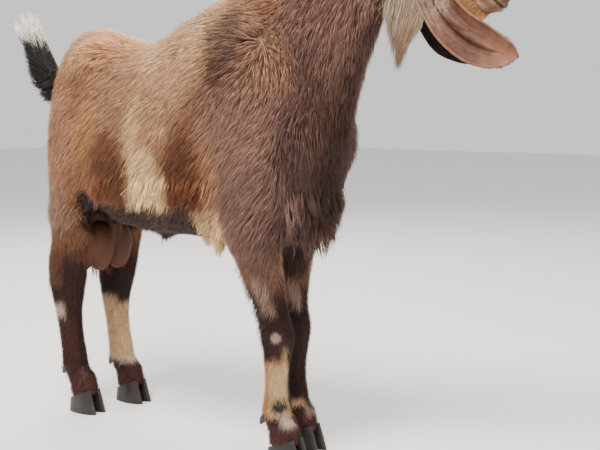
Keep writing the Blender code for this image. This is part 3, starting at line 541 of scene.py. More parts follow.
def lid_rims():
    """The smooth edges of the lids, thin bars round each opening."""
    made = []
    turn = np.array(HEAD_TURN)
    for side in (-1, 1):
        middle, ring = eye_axes(side)[0], lid_ring(side)
        tangents = unit(np.roll(ring, -1, axis=0) - np.roll(ring, 1, axis=0))
        bm = bmesh.new()
        loops = []
        for point, tangent in zip(ring, tangents):
            radial = unit(point - middle)
            arms = [turn @ arm * LID_RIM for arm in (radial, np.cross(tangent, radial))]
            loops.append(ring_of(bm, np.array(POLL + SHIFT) + turn @ point, *arms, 8))
        bridge(bm, loops + loops[:1])
        bmesh.ops.recalc_face_normals(bm, faces=bm.faces)
        made.append(from_bmesh(bm, "lid_rim"))
    return made


def body_skin():
    whole = joined(FLESH, "whole")
    modify(whole, "REMESH", mode="VOXEL", voxel_size=BODY_VOXEL)
    bake(whole)
    skin = eroded(whole, "skin")
    drop(whole)
    modify(skin, "SMOOTH", iterations=5)
    bake(skin)
    sink(skin, ERODED)
    modify(skin, "SMOOTH", iterations=4)
    return bake(skin)


def head_skin():
    head = joined(("head", "neck"), "fine_head")
    cut_by_plane(head, at(HEAD_CUT) - HEAD_CUT_NORMAL * 0.05, HEAD_CUT_NORMAL, True)
    modify(head, "REMESH", mode="VOXEL", voxel_size=HEAD_VOXEL)
    modify(head, "SMOOTH", iterations=24)
    bake(head)
    sink(head, 0.0)
    sculpt(head)
    modify(head, "SMOOTH", iterations=1, factor=0.4)
    bake(head)
    cut_by_plane(head, at(HEAD_CUT), HEAD_CUT_NORMAL, True)
    return head


def foot_middle(leg):
    """The middle of a foot's two claws."""
    boxes = [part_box(f"claw_{leg}_{part}") for part in ("outer", "inner")]
    x = (boxes[0][0][0] + boxes[0][1][0]) / 2
    return x, (min(low[1] for low, _ in boxes) + max(high[1] for _, high in boxes)) / 2


FOOT_PATH = ((-0.024, 0.114), (-0.013, 0.074), (-0.008, 0.040))
FOOT_RADII = (0.008, 0.0265, 0.0285)


def feet():
    """The ends of the legs, which reach down inside the hooves."""
    made = []
    for leg in LEGS:
        x, y = foot_middle(leg)
        path = [Vector((x + ahead, y, z)) - SHIFT for ahead, z in FOOT_PATH]
        made.append(tube("foot", path, FOOT_RADII, 16, 24))
    return made


def lobes():
    """The rounded halves of the scrotum."""
    made = []
    for side in (-1, 1):
        bm = bmesh.new()
        bmesh.ops.create_uvsphere(bm, u_segments=48, v_segments=36, radius=1.0)
        middle = SAC_LOBE * np.array([1, side, 1])
        for v in bm.verts:
            wide = 1 + SAC_TAPER * v.co.z
            v.co = at(middle + np.array(v.co) * SAC_RADII * np.array([wide, wide, 1]))
        made.append(from_bmesh(bm, "lobe"))
    return made


def make_skin():
    """One skin for all the flesh: a fine head on a coarser body, sunk to lie under the coat."""
    skin = body_skin()
    head = head_skin()
    combine(head, "DIFFERENCE", *nostrils(head))
    combine(head, "UNION", *lid_rims())
    cut_by_plane(skin, at(HEAD_CUT) + HEAD_CUT_NORMAL.normalized() * HEAD_OVERLAP, HEAD_CUT_NORMAL, False)
    points = coordinates(skin.data)
    hollow = GROIN_DEPTH * near_line(design(points), GROIN, 0.014, 0.027)
    set_coordinates(skin.data, points - normals(skin.data) * hollow[:, None])
    return combine(skin, "UNION", head, tube("tail_core", TAIL, TAIL_RADII, 24, 16), *lobes(), *feet())


# Colours as the eye sees them, red, green and blue out of 255
BROWN = linear(146, 98, 68)
MAUVE = linear(127, 95, 86)
TAN = linear(206, 160, 124)
GOLD = linear(214, 156, 102)
CREAM = linear(232, 190, 142)
RUST = linear(96, 50, 27)
DARK = linear(50, 30, 25)
BLACK = linear(20, 13, 13)
GREY = linear(170, 152, 130)
MAROON = linear(58, 28, 23)
WHITE = linear(240, 228, 214)
STREAK = linear(206, 172, 146)
FOOT = linear(96, 52, 44)
PINK = linear(228, 196, 178)
BEARD_GREY = linear(166, 154, 140)
EAR_FLESH = linear(104, 68, 52)
EAR_SHADE = linear(66, 38, 28)
EAR_TIP = linear(142, 96, 72)
EAR_DOWN = linear(136, 112, 98)
CALLUS_GREY = linear(150, 126, 116)
SAC_BROWN = linear(98, 54, 32)
# The belly's hair
BELLY = DARK + (BLACK - DARK) * 0.35
HORN_DARK, HORN_PALE, DEWCLAW = linear(22, 17, 15), linear(66, 52, 43), linear(46, 36, 32)

BOTH, RIGHT, LEFT = 0, -1, 1
# Markings of the body, with painted shade and painted highlights among them: colour, side, middle and reach
# along x and z, and strength
BODY_MARKS_AND_PAINTED_LIGHT = (
    (MAUVE, BOTH, (-0.02, 0.62), (0.15, 0.28), 0.9),
    (TAN, BOTH, (-0.06, 0.68), (0.10, 0.10), 0.2),
    (MAUVE, BOTH, (0.10, 0.92), (0.15, 0.19), 0.8),
    (TAN, BOTH, (-0.32, 0.88), (0.26, 0.12), 0.9),
    (TAN, BOTH, (-0.34, 0.74), (0.18, 0.15), 0.6),
    (TAN, BOTH, (-0.24, 0.86), (0.13, 0.10), 0.8),
    # Painted highlights: the next two rows lighten the back where light falls on it
    (CREAM, BOTH, (-0.24, 0.83), (0.11, 0.10), 0.5),
    (TAN, BOTH, (-0.23, 0.73), (0.06, 0.11), 0.65),
    (GOLD, BOTH, (-0.54, 0.87), (0.16, 0.08), 0.9),
    (TAN, BOTH, (-0.54, 0.87), (0.12, 0.06), 0.6),
    (GOLD, BOTH, (-0.47, 0.66), (0.06, 0.10), 0.4),
    (GOLD, BOTH, (-0.125, 0.57), (0.03, 0.10), 0.5),
    (RUST, BOTH, (-0.190, 0.58), (0.060, 0.13), 0.9),
    (RUST, BOTH, (-0.39, 0.57), (0.08, 0.13), 0.8),
    (CREAM, RIGHT, (-0.314, 0.67), (0.028, 0.09), 0.75),
    (CREAM, RIGHT, (-0.286, 0.56), (0.054, 0.10), 1.0),
    (CREAM, LEFT, (-0.30, 0.60), (0.05, 0.10), 1.0),
    (TAN, BOTH, (-0.58, 0.68), (0.09, 0.16), 0.45),
    (GREY, BOTH, (-0.60, 0.50), (0.05, 0.07), 0.35),
    (DARK, BOTH, (-0.10, 0.83), (0.05, 0.08), 0.65),
    (GOLD, BOTH, (-0.01, 0.80), (0.05, 0.07), 0.25),
    (DARK, BOTH, (0.07, 0.62), (0.05, 0.22), 0.6),
    # Painted shade: darker under the brisket, between the forelegs
    (DARK, BOTH, (0.045, 0.470), (0.07, 0.06), 0.65),
)
# Markings of the legs, with painted shade and a painted highlight among them: colour, leg, heights from and
# to, the way that they face, how squarely, and strength
LEG_MARKS_AND_PAINTED_LIGHT = (
    (STREAK, "fore_right", (0.312, 0.385), (0.34, -0.94), 0.95, 0.85),
    (STREAK, "fore_left", (0.305, 0.362), (0.60, -0.80), 0.92, 0.75),
    # Painted highlight: paler where direct light falls on the front of the right fore cannon
    (WHITE, "fore_right", (0.125, 0.200), (0.75, -0.66), 0.60, 0.30),
    (GOLD, "fore_right", (0.095, 0.212), (0.20, -0.98), 0.30, 0.95),
    (CREAM, "fore_right", (0.095, 0.206), (0.75, -0.66), 0.55, 1.0),
    (CREAM, "fore_right", (0.200, 0.238), (0.90, -0.44), 1.0, 0.95),
    (PINK, "fore_right", (0.080, 0.104), (0.80, -0.60), 0.80, 0.75),
    (CREAM, "fore_left", (0.094, 0.112), (0.80, -0.60), 0.90, 0.95),
    (PINK, "fore_left", (0.064, 0.094), (0.97, -0.24), 0.95, 0.85),
    # Painted shade: black on the inner side of the left foreleg's top, between the forelegs
    (BLACK, "fore_left", (0.375, 0.505), (0.10, -0.99), 0.20, 0.75),
    (CREAM, "hind_left", (0.106, 0.246), (0.60, -0.80), -0.10, 1.0),
    (CREAM, "hind_left", (0.240, 0.262), (-0.20, -0.98), 0.80, 0.9),
    (PINK, "hind_left", (0.098, 0.112), (0.95, -0.30), 0.55, 0.7),
    (BROWN, "hind_right", (0.300, 0.410), (-0.90, -0.40), 0.30, 0.5),
    (FOOT, "hind_right", (0.090, 0.220), (-0.30, -0.95), 0.10, 0.40),
    (PINK, "hind_right", (0.226, 0.258), (-0.80, -0.60), 0.30, 0.85),
)
SPOT = (0.009, -0.081, 0.121)
SPOT_RADII = np.array([0.016, 0.018, 0.014])
CALLUS_HEIGHT = 0.256
CALLUS_RADIUS = 0.0105
KNEE_FRONTS = ((0.006, -0.088, CALLUS_HEIGHT), (-0.025, 0.056, CALLUS_HEIGHT))
# The hollow between the flank and the thigh
GROIN = (
    (-0.500, 0.110, 0.505), (-0.486, 0.098, 0.484), (-0.500, 0.080, 0.462), (-0.535, 0.078, 0.450),
    (-0.545, 0.040, 0.438),
)
GROIN_DEPTH = 0.020
# The places round that hollow that lie in its shade, from the flank to between the thighs
GROIN_SHADE = (
    (-0.512, 0.098, 0.510), (-0.508, 0.080, 0.496), (-0.506, 0.060, 0.480), (-0.532, 0.045, 0.468),
    (-0.558, 0.034, 0.455), (-0.550, 0.020, 0.440), (-0.572, 0.040, 0.446), (-0.564, 0.056, 0.466),
    (-0.545, 0.068, 0.480), (-0.520, 0.088, 0.496),
)
# One half of the scrotum: its middle, its radii and how much narrower it is below
SAC_LOBE = np.array([-0.570, 0.0275, 0.386])
SAC_RADII = np.array([0.0390, 0.0310, 0.0570])
SAC_TAPER = 0.12


def leg_of(p, leg):
    """True where design places belong to that leg."""
    fore, left = p[:, 0] > HALFWAY, p[:, 1] > 0
    return (fore if leg.startswith("fore") else ~fore) & (left if leg.endswith("left") else ~left)


def on_scrotum(p):
    """1 on the scrotum's two halves and between them."""
    d = np.column_stack([p[:, 0], np.maximum(np.abs(p[:, 1]), SAC_LOBE[1]), p[:, 2]]) - SAC_LOBE
    return fall(1.20, 1.34, np.linalg.norm(d / SAC_RADII, axis=1))


def on_callus(p, reach=1.0):
    away = np.min([np.linalg.norm(p - np.array(k), axis=1) for k in KNEE_FRONTS], axis=0)
    return fall(CALLUS_RADIUS * 0.85, CALLUS_RADIUS * 1.15 * reach, away)


def near_line(p, line, low, high):
    """1 within low of a line that the body has on both sides, 0 past high."""
    return fall(low, high, line_distance(np.column_stack([p[:, 0], np.abs(p[:, 1]), p[:, 2]]), line))


def in_shade(p, reach):
    """1 in the hollow between the flank and the thigh, and in the shade round it."""
    hollow = near_line(p, GROIN, 0.014 * reach, 0.027 * reach)
    return np.maximum(hollow, near_line(p, GROIN_SHADE, 0.014 * reach, 0.024 * reach))


def band(low, high, x, soft):
    """1 between low and high, with soft ends."""
    return smoothstep(low - soft, low + soft, x) * fall(high - soft, high + soft, x)


def body_colours(p, n, warp):
    colours = np.tile(BROWN, (len(p), 1))
    for colour, side, (x, z), (rx, rz), strength in BODY_MARKS_AND_PAINTED_LIGHT:
        share = strength * fall(0.55, 1.20, np.hypot((p[:, 0] - x) / rx, (p[:, 2] - z) / rz) + 0.22 * warp)
        colours = mix(colours, colour, share * (p[:, 1] * side > 0) if side else share)
    belly = fall(0.510, 0.535, p[:, 2] + 0.008 * warp) * band(-0.50, -0.13, p[:, 0], 0.03)
    colours = mix(colours, BELLY, 0.92 * belly)
    elbow = np.hypot((p[:, 0] + 0.140) / 0.055, (p[:, 2] - 0.475) / 0.050) + 0.2 * warp
    colours = mix(colours, CREAM, 0.8 * fall(0.7, 1.2, elbow))
    front = smoothstep(0.55, 0.95, n[:, 0]) * (p[:, 0] > 0.0) * fall(0.02, 0.06, np.abs(p[:, 1]))
    colours = mix(colours, DARK, 0.75 * front)
    rim = fall(0.45, 0.52, p[:, 2]) * smoothstep(0.035, 0.060, p[:, 0])
    colours = mix(colours, BROWN, 0.6 * rim * (1 - leg_share(p + np.array(SHIFT))))
    return mix(colours, BLACK, 0.97 * in_shade(p, 1.35))


def leg_colours(colours, p, n, warp):
    top = np.where(p[:, 0] > HALFWAY, 0.365, 0.392) + 0.025 * warp
    share = fall(top - 0.04, top + 0.04, p[:, 2])
    colours = mix(colours, MAROON, share)
    # Painted shade: the inner sides of the lower legs, which face each other, are darkened towards black
    colours = mix(colours, BLACK, 0.4 * share * smoothstep(0.2, 0.8, -n[:, 1] * np.sign(p[:, 1])))
    colours = mix(colours, FOOT, 0.6 * fall(0.065, 0.110, p[:, 2]))
    flat = unit(n * np.array([1, 1, 0]))
    for colour, leg, (low, high), (fx, fy), square, strength in LEG_MARKS_AND_PAINTED_LIGHT:
        facing = flat[:, 0] * fx + flat[:, 1] * fy + 0.15 * warp
        share = strength * smoothstep(square - 0.12, square + 0.12, facing) * leg_of(p, leg)
        colours = mix(colours, colour, share * band(low, high, p[:, 2] + 0.004 * warp, 0.006))
    e = np.linalg.norm((p - np.array(SPOT)) / SPOT_RADII, axis=1)
    return mix(colours, BLACK, 0.95 * fall(0.9, 1.15, e + 0.15 * warp))


def muzzle_colours(face, h, warp):
    """The dark nose, the pale lips, painted shade along the line between them and the pale chin."""
    face = mix(face, DARK, 0.6 * smoothstep(0.211, 0.247, h[:, 0] + 0.006 * warp))
    lips = bell(h[:, 2] + 0.097, 0.012) * smoothstep(0.219, 0.247, h[:, 0])
    face = mix(face, TAN, np.clip(0.35 + 0.3 * warp, 0, 1) * lips)
    # Painted shade in the crease where the lips part
    face = mix(face, BLACK, 0.85 * on_parting(h, 0.0022))
    return mix(face, TAN, 0.7 * fall(-0.112, -0.104, h[:, 2]) * band(0.19, 0.242, h[:, 0], 0.01))


def head_colours(colours, p, n, warp):
    points = p + np.array(SHIFT)
    h = local_head(points)
    face = mix(BROWN, MAROON, 0.22 + 0.22 * np.clip(warp, -1, 1))
    face = mix(face, RUST, 0.5 * fall(0.0, 0.10, h[:, 0]) * smoothstep(-0.05, 0.0, h[:, 2]))
    stripe = bell(h[:, 2] + 0.012 + 0.16 * np.maximum(h[:, 0] - 0.1, 0), 0.008)
    stripe *= band(0.09, 0.22, h[:, 0], 0.02) * smoothstep(0.018, 0.03, np.abs(h[:, 1]))
    face = mix(face, TAN, 0.5 * stripe)
    throat = fall(-0.140, -0.118, h[:, 2]) * band(-0.01, 0.12, h[:, 0], 0.025)
    face = mix(face, GREY, 0.7 * throat * fall(0.025, 0.05, np.abs(h[:, 1])))
    face = mix(face, DARK, 0.7 * near_eye(points))
    return mix(colours, muzzle_colours(face, h, warp), head_share(points))


def tail_colours(colours, p, warp):
    share = fall(-0.672, -0.655, p[:, 0]) * band(0.70, 0.805, p[:, 2] + 1.2 * (p[:, 0] + 0.66), 0.012)
    share = np.maximum(share, fall(-0.70, -0.685, p[:, 0]) * smoothstep(0.70, 0.73, p[:, 2]))
    colours = mix(colours, mix(DARK, BLACK, 0.85 + 0.15 * warp), share)
    return mix(colours, WHITE, share * smoothstep(0.838, 0.858, p[:, 2] + 0.006 * warp))


def colours_at(points, n):
    """The markings of skin and coat alike, with painted shade and painted highlights among them."""
    p = design(points)
    warp, fine = [
        np.clip(waves(p, size, SEED + k, 3) * 1.6, -1.2, 1.2) for k, size in ((2, 0.16), (3, 0.045))
    ]
    colours = body_colours(p, n, 0.6 * warp + 0.4 * fine)
    colours = leg_colours(colours, p, n, fine)
    colours = head_colours(colours, p, n, fine)
    colours = tail_colours(colours, p, fine)
    sac = mix(SAC_BROWN, DARK, 0.10 + 0.8 * bell(p[:, 1], 0.005))
    colours = mix(colours, sac, on_scrotum(p))
    colours = mix(colours, CALLUS_GREY, on_callus(p))
    return colours * (1 + 0.10 * warp + 0.06 * fine)[:, None]


WHORL = np.array([-0.050, 0.0, 0.812])
WHORL_REACH = 0.10
BACKWARDS = np.array([-0.9, 0.0, 0.3])


def trunk_lie(p):
    """The way that hair points on the trunk and neck, round the whorl over the shoulder and on the chest."""
    away = np.sign(p[:, 1])[:, None] * np.array([0.0, 1.0, 0.0])
    trunk = np.array([-0.55, 0.0, -0.85]) + 0.25 * away
    trunk = trunk + (smoothstep(0.78, 0.90, p[:, 2]) * (p[:, 0] < 0.0))[:, None] * BACKWARDS
    neck = smoothstep(-0.03, 0.08, p[:, 0] + 0.45 * (p[:, 2] - 0.75))
    lie = mix(trunk, np.array([-0.30, 0.0, -0.95]), neck)
    spread = (p - WHORL) * np.array([1, 0, 1])
    reach = np.linalg.norm(spread, axis=1)
    near = bell(reach, WHORL_REACH) * smoothstep(0.0, 0.03, reach) * smoothstep(0.60, 0.75, p[:, 2])
    lie = mix(lie, unit(spread) + np.array([0, 0, -0.35]), 0.75 * near)
    chest = smoothstep(0.0, 0.05, p[:, 0]) * fall(0.62, 0.75, p[:, 2])
    return mix(lie, np.array([0.10, 0.0, -1.0]) + 0.1 * away, chest)


def directions_at(points, n):
    """The lie of the coat: the way that hairs point along the skin."""
    p, h = design(points), local_head(points)
    legs = leg_share(points)
    belly = smoothstep(0.5, 0.85, -n[:, 2]) * (p[:, 2] > 0.35) * (1 - legs)
    lie = trunk_lie(p)
    for way, share in (
        ((-0.25, 0.0, -1.0), fall(-0.62, -0.50, p[:, 0])),
        ((-0.10, 0.0, -1.0), legs),
        ((-0.9, 0.0, -0.3), belly),
        ((-0.05, 0.0, -1.0), on_scrotum(p)),
    ):
        lie = mix(lie, np.array(way), share)
    face = np.array([-1.0, 0.0, -0.12]) + 0.22 * np.sign(h[:, 1])[:, None] * np.array([0, 1.0, 0])
    lie = mix(lie, face @ np.array(HEAD_TURN).T, head_share(points))
    sway = np.column_stack([waves(p, 0.09, SEED + 4 + k, 2) for k in range(3)])
    lie = unit(lie) + 0.22 * sway
    return unit(lie - n * (lie * n).sum(axis=1)[:, None])


def opening_share(points):
    """1 where an eye, the bare nose, a lip's edge or a knee's callus has no hair."""
    h = local_head(points)
    bare = on_callus(design(points))
    for side in (-1, 1):
        d, _, _, past, outside = past_lids(h, side)
        bare = np.maximum(bare, fall(0.0022, 0.0032, past) * outside * (np.linalg.norm(d, axis=1) < 0.04))
    nose = smoothstep(0.2587, 0.2643, h[:, 0]) * smoothstep(-0.089, -0.084, h[:, 2])
    nose = nose * fall(0.02, 0.026, np.abs(h[:, 1]))
    return np.maximum(np.maximum(bare, nose), on_parting(h, 0.003) * head_share(points))


def coat_lengths(points):
    """The hair's length, and the spacing and width of its tufts."""
    p, h = design(points), local_head(points)
    head, legs, sac = head_share(points), leg_share(points), on_scrotum(p)
    lower = fall(0.24, 0.40, p[:, 2])
    face = smoothstep(-0.04, 0.05, h[:, 0])
    length = 0.040 + 0.006 * smoothstep(0.0, 0.1, p[:, 0])
    length = length - 0.008 * smoothstep(0.84, 0.92, p[:, 2]) * (p[:, 0] < 0)
    length = length + 0.006 * band(0.47, 0.58, p[:, 2], 0.03) * band(-0.46, -0.12, p[:, 0], 0.03)
    length = toward(length, 0.026, fall(0.48, 0.54, p[:, 2]) * band(-0.52, -0.10, p[:, 0], 0.03))
    length = toward(length, 0.028 - 0.011 * lower, legs) - 0.005 * fall(0.09, 0.15, p[:, 2])
    length = length * (1 - 0.75 * on_callus(p, 3.5)) * (1 - 0.62 * in_shade(p, 2.2))
    length = toward(toward(length, 0.0055, sac), 0.018 - 0.0125 * face, head)
    spacing = 0.0029 - 0.0003 * legs - 0.0003 * lower * legs
    spacing = toward(toward(spacing, 0.0024 - 0.0008 * face, head), 0.0019, sac)
    width = 0.0018 - 0.0005 * legs - 0.0002 * lower * legs
    width = toward(toward(width, 0.0013 - 0.0007 * face, head), 0.0008, sac)
    return length, spacing, width


def mesh_of(name, points, faces):
    """A mesh of triangles."""
    mesh = bpy.data.meshes.new(name)
    mesh.vertices.add(len(points))
    mesh.vertices.foreach_set("co", np.asarray(points, np.float32).ravel())
    mesh.loops.add(faces.size)
    mesh.loops.foreach_set("vertex_index", faces.astype(np.int32).ravel())
    mesh.polygons.add(len(faces))
    mesh.polygons.foreach_set("loop_start", np.arange(0, faces.size, 3, dtype=np.int32))
    mesh.update(calc_edges=True)
    mesh.shade_smooth()
    return mesh


def paint(obj, colours):
    """Colours of the points, kept with the mesh for its material."""
    rgba = np.ones((len(colours), 4), np.float32)
    rgba[:, :3] = np.clip(colours, 0, 1)
    attribute = obj.data.color_attributes.new("coat", "FLOAT_COLOR", "POINT")
    attribute.data.foreach_set("color", rgba.ravel())


# Widths of a tuft at its steps, out of its full width, by how many steps it has
TUFT_SHAPES = {2: (1.0,), 3: (0.75, 1.0), 4: (0.7, 1.0, 0.75), 6: (0.6, 0.95, 1.0, 0.85, 0.55)}
# A hair's patch of the bake map and the map's free edge, out of the map's side
PATCH = 0.003
MAP_EDGE = 0.004
# Axes of the unwraps
FORWARDS, UPWARDS = (1, 0, 0), (0, 0, 1)
# How far a hair is drawn to its neighbours' lock at most
CLUMP_REACH = 0.03


def spread_on_map(shares):
    """Shares of the way across and up the map, kept clear of its edges."""
    return MAP_EDGE + shares * (1 - 2 * MAP_EDGE - PATCH)


def tuft_faces(steps):
    """The triangles of one hair: rings of three corners that end in a point."""
    faces = [(0, 2, 1)]
    for low in range(0, 3 * (steps - 2), 3):
        for k in range(3):
            j = (k + 1) % 3
            faces += [(low + k, low + j, low + 3 + j), (low + k, low + 3 + j, low + 3 + k)]
    last = 3 * (steps - 2)
    return np.array(faces + [(last + k, last + (k + 1) % 3, last + 3) for k in range(3)])


def tufts(name, centres, out, width, root_colour, tip_colour, chart):
    """Closed, tapered three-sided hairs through rows of centres, each with its own patch of the bake map."""
    count, steps, _ = centres.shape
    tangents = unit(np.gradient(centres, axis=1))
    across = unit(np.cross(out[:, None, :], tangents))
    up = np.cross(tangents, across)
    half = (width[:, None] * np.array(TUFT_SHAPES[steps])[None, :] / 2)[:, :, None]
    body, a, u = centres[:, :-1], across[:, :-1], up[:, :-1]
    rings = np.stack([body - a * half, body + a * half, body + u * half * 0.8], axis=2)
    points = np.concatenate([rings.reshape(count, -1, 3), centres[:, -1:]], axis=1)
    faces = tuft_faces(steps)[None] + points.shape[1] * np.arange(count)[:, None, None]
    faces = faces.reshape(-1, 3)
    obj = new_object(name, mesh_of(name, points.reshape(-1, 3), faces))
    shares = np.append(np.repeat(np.linspace(0, 1, steps)[:-1], 3), 1.0)
    colours = toward(root_colour[:, None], tip_colour[:, None], shares[None, :, None] ** 0.8)
    paint(obj, colours.reshape(-1, 3))
    offsets = np.column_stack([np.append(np.tile([0.0, 1.0, 0.5], steps - 1), 0.5), shares]) * PATCH
    places = chart[:, None] + offsets[None]
    layer = obj.data.uv_layers.new(name="OFBake")
    layer.data.foreach_set("uv", places.reshape(-1, 2)[faces.ravel()].astype(np.float32).ravel())
    return obj


def chart_round(points, middle, axis, start):
    """The unwrap of a rounded part about its own axis, laid out over the whole map."""
    axis = unit(np.array(axis, float))
    start = unit(np.array(start, float) - axis * np.dot(start, axis))
    d = points - np.array(middle)
    rows = np.column_stack([np.arctan2(d @ np.cross(axis, start), d @ start), d @ axis])
    low, high = rows.min(axis=0), rows.max(axis=0)
    return spread_on_map((rows - low) / np.maximum(high - low, 1e-6))


def triangles_of(obj):
    mesh = obj.data
    mesh.calc_loop_triangles()
    corners = np.empty(len(mesh.loop_triangles) * 3, np.int32)
    mesh.loop_triangles.foreach_get("vertices", corners)
    return corners.reshape(-1, 3)


def scatter(obj, density, rng):
    """Random roots on a surface with their normals; density gives how many stand on a square metre."""
    points, out, corners = coordinates(obj.data), normals(obj.data), triangles_of(obj)
    a, b, c = points[corners[:, 0]], points[corners[:, 1]], points[corners[:, 2]]
    cross = np.cross(b - a, c - a)
    wanted = np.linalg.norm(cross, axis=1) / 2 * density((a + b + c) / 3, unit(cross))
    total = int(wanted.sum())
    cumulative = np.cumsum(wanted)
    picks = (np.arange(total) + rng.uniform(0, 1, total)) / total * cumulative[-1]
    picks = np.clip(np.searchsorted(cumulative, picks), 0, len(corners) - 1)
    s, t = rng.uniform(0, 1, (2, total))
    over = s + t > 1
    s[over], t[over] = 1 - s[over], 1 - t[over]
    weights = np.column_stack([1 - s - t, s, t])[:, :, None]
    roots = (points[corners[picks]] * weights).sum(axis=1)
    return roots, unit((out[corners[picks]] * weights).sum(axis=1))


def settle(tree, points, heights, free):
    """Points moved to those heights over the nearest skin; free is how far each stays where it was."""
    settled = points.copy()
    for i, point in enumerate(points):
        place, out, _, _ = tree.find_nearest(point)
        if place is not None:
            settled[i] = np.array(place + out * heights[i])
    return mix(settled, points, free)


def clumped(roots, tips, middles, pull, share, rng):
    """Draws neighbouring tips together."""
    count = len(roots)
    chosen = rng.choice(count, max(1, int(count * share)), replace=False)
    tree = KDTree(len(chosen))
    for k in chosen:
        tree.insert(roots[k], int(k))
    tree.balance()
    nearest = np.array([tree.find(r)[1] for r in roots])
    reach = np.linalg.norm(roots[nearest] - roots, axis=1)
    drawn = (tips[nearest] - tips) * (pull * (reach < CLUMP_REACH))[:, None]
    return tips + drawn, middles + drawn * 0.35


def shades(colours, rng):
    """Root and tip colours of each tuft, with the differences between hairs; the roots are darkened as
    painted shade under the outer hair.
    """
    count = len(colours)
    light = np.exp(rng.normal(0, 0.13, count))
    pale = rng.uniform(0, 1, count)
    light = np.where(pale > 0.93, light * 1.35, np.where(pale < 0.08, light * 0.6, light))
    tip = colours * light[:, None] * (1 + rng.normal(0, 0.03, (count, 3)))
    # Painted shade: the root is darker than the coat's colour; the tip is lighter
    return colours * (0.66 * light)[:, None], tip * 1.22 + 0.004


def hair_density(points, n):
    p = design(points)
    _, spacing, _ = coat_lengths(points)
    sole = (p[:, 2] < 0.075) & (n[:, 2] < -0.6)
    tail = fall(-0.69, -0.672, p[:, 0]) * smoothstep(0.70, 0.73, p[:, 2])
    bare = np.maximum(opening_share(points), 0.97 * in_shade(p, 1.2))
    return (1 - bare) * (1 - tail) * ~sole / spacing**2


# Share of the trunk's hairs that bow on their way; the others are straight and finer
BOWED_SHARE = 0.4
FEWEST_HAIRS = 50
# How far long hairs wave to either side
WAVE_REACH = 0.0042
# How deep in the skin a hair starts
ROOT_DEPTH = 0.0012
# The trunk's regions from front to rear: name, and from where to where
TRUNK_PARTS = (("front", -0.14, 9), ("middle", -0.30, -0.14), ("loin", -0.46, -0.30), ("rump", -9, -0.46))
# Where each pair of legs stands
LEG_PLACES = {"fore": (-0.02, 0.06), "hind": (-0.61, 0.065)}


def grow_coat(skin, tree):
    rng = np.random.default_rng(SEED)
    roots, out = scatter(skin, hair_density, rng)
    count = len(roots)
    length, _, width = coat_lengths(roots)
    length = length * rng.uniform(0.78, 1.15, count)
    lie = unit(directions_at(roots, out) + 0.16 * rng.normal(size=(count, 3)))
    depth = coat_depth(roots) * rng.uniform(0.62, 1.10, count)
    p = design(roots)
    free = 0.12 + 0.35 * band(0.40, 0.50, p[:, 2], 0.03) * band(-0.50, -0.10, p[:, 0], 0.04)
    tips = settle(tree, roots + lie * length[:, None] + out * depth[:, None] * 0.5, depth, free)
    middles = settle(tree, roots + lie * (0.46 * length)[:, None], depth * 0.66, np.zeros(count))
    tips, middles = clumped(roots, tips, middles, 0.16 + 0.16 * smoothstep(0.02, 0.04, length), 0.08, rng)
    centres = np.stack([roots - out * ROOT_DEPTH, middles, tips], axis=1)
    stray = roots + rng.normal(0, 0.007, (count, 3)) * np.minimum(1, length / 0.03)[:, None]
    root_colour, tip_colour = shades(colours_at(stray, out), rng)
    rows = [out, width * rng.uniform(0.75, 1.25, count), root_colour, tip_colour]
    bowed = (rng.uniform(0, 1, count) < BOWED_SHARE) & (head_share(roots) < 0.5) & (leg_share(roots) < 0.5)
    made = split_coat("", centres[bowed], *[row[bowed] for row in rows])
    return made + split_coat("_fine", centres[~bowed][:, ::2], *[row[~bowed] for row in rows])


def coat_regions(roots):
    """Regions of the coat: name, which roots, and the middle, axis and start of the unwrap."""
    p = design(roots)
    head, legs = head_share(roots) > 0.5, leg_share(roots) > 0.5
    neck = (p[:, 0] * 0.86 + (p[:, 2] - 0.78) * 0.51 > 0.039) & ~head & ~legs
    trunk = ~head & ~legs & ~neck
    left = np.where(head, local_head(roots)[:, 1], p[:, 1]) > 0
    nose = HEAD_TURN @ Vector((1, 0, 0))
    yield "coat_head_right", head & ~left, POLL + SHIFT, nose, (0, 0, -1)
    yield "coat_head_left", head & left, POLL + SHIFT, nose, (0, 0, -1)
    yield "coat_neck", neck, at((0.08, 0.0, 0.88)), (0.42, 0.05, 0.9), (-1, 0, 0)
    for label, side, sign in (("right", ~left, -1), ("left", left, 1)):
        for place, low, high in TRUNK_PARTS:
            part = trunk & side & (p[:, 0] >= low) & (p[:, 0] < high)
            yield f"coat_{place}_{label}", part, at((0, 0, 0.66)), (1, 0, 0), (0, -sign, 0)
        for leg, part in (("fore", p[:, 0] > HALFWAY), ("hind", p[:, 0] <= HALFWAY)):
            x, y = LEG_PLACES[leg]
            yield f"coat_leg_{leg}_{label}", legs & side & part, at((x, sign * y, 0)), (0, 0, 1), (-1, 0, 0)


def split_coat(suffix, centres, *rows):
    """The coat in pieces by region of the body, each with its own unwrap."""
    made = []
    for name, part, *unwrap in coat_regions(centres[:, 0]):
        if part.sum() >= FEWEST_HAIRS:
            chart = chart_round(centres[part, 0], *unwrap)
            made.append(tufts(name + suffix, centres[part], *[row[part] for row in rows], chart))
    return made


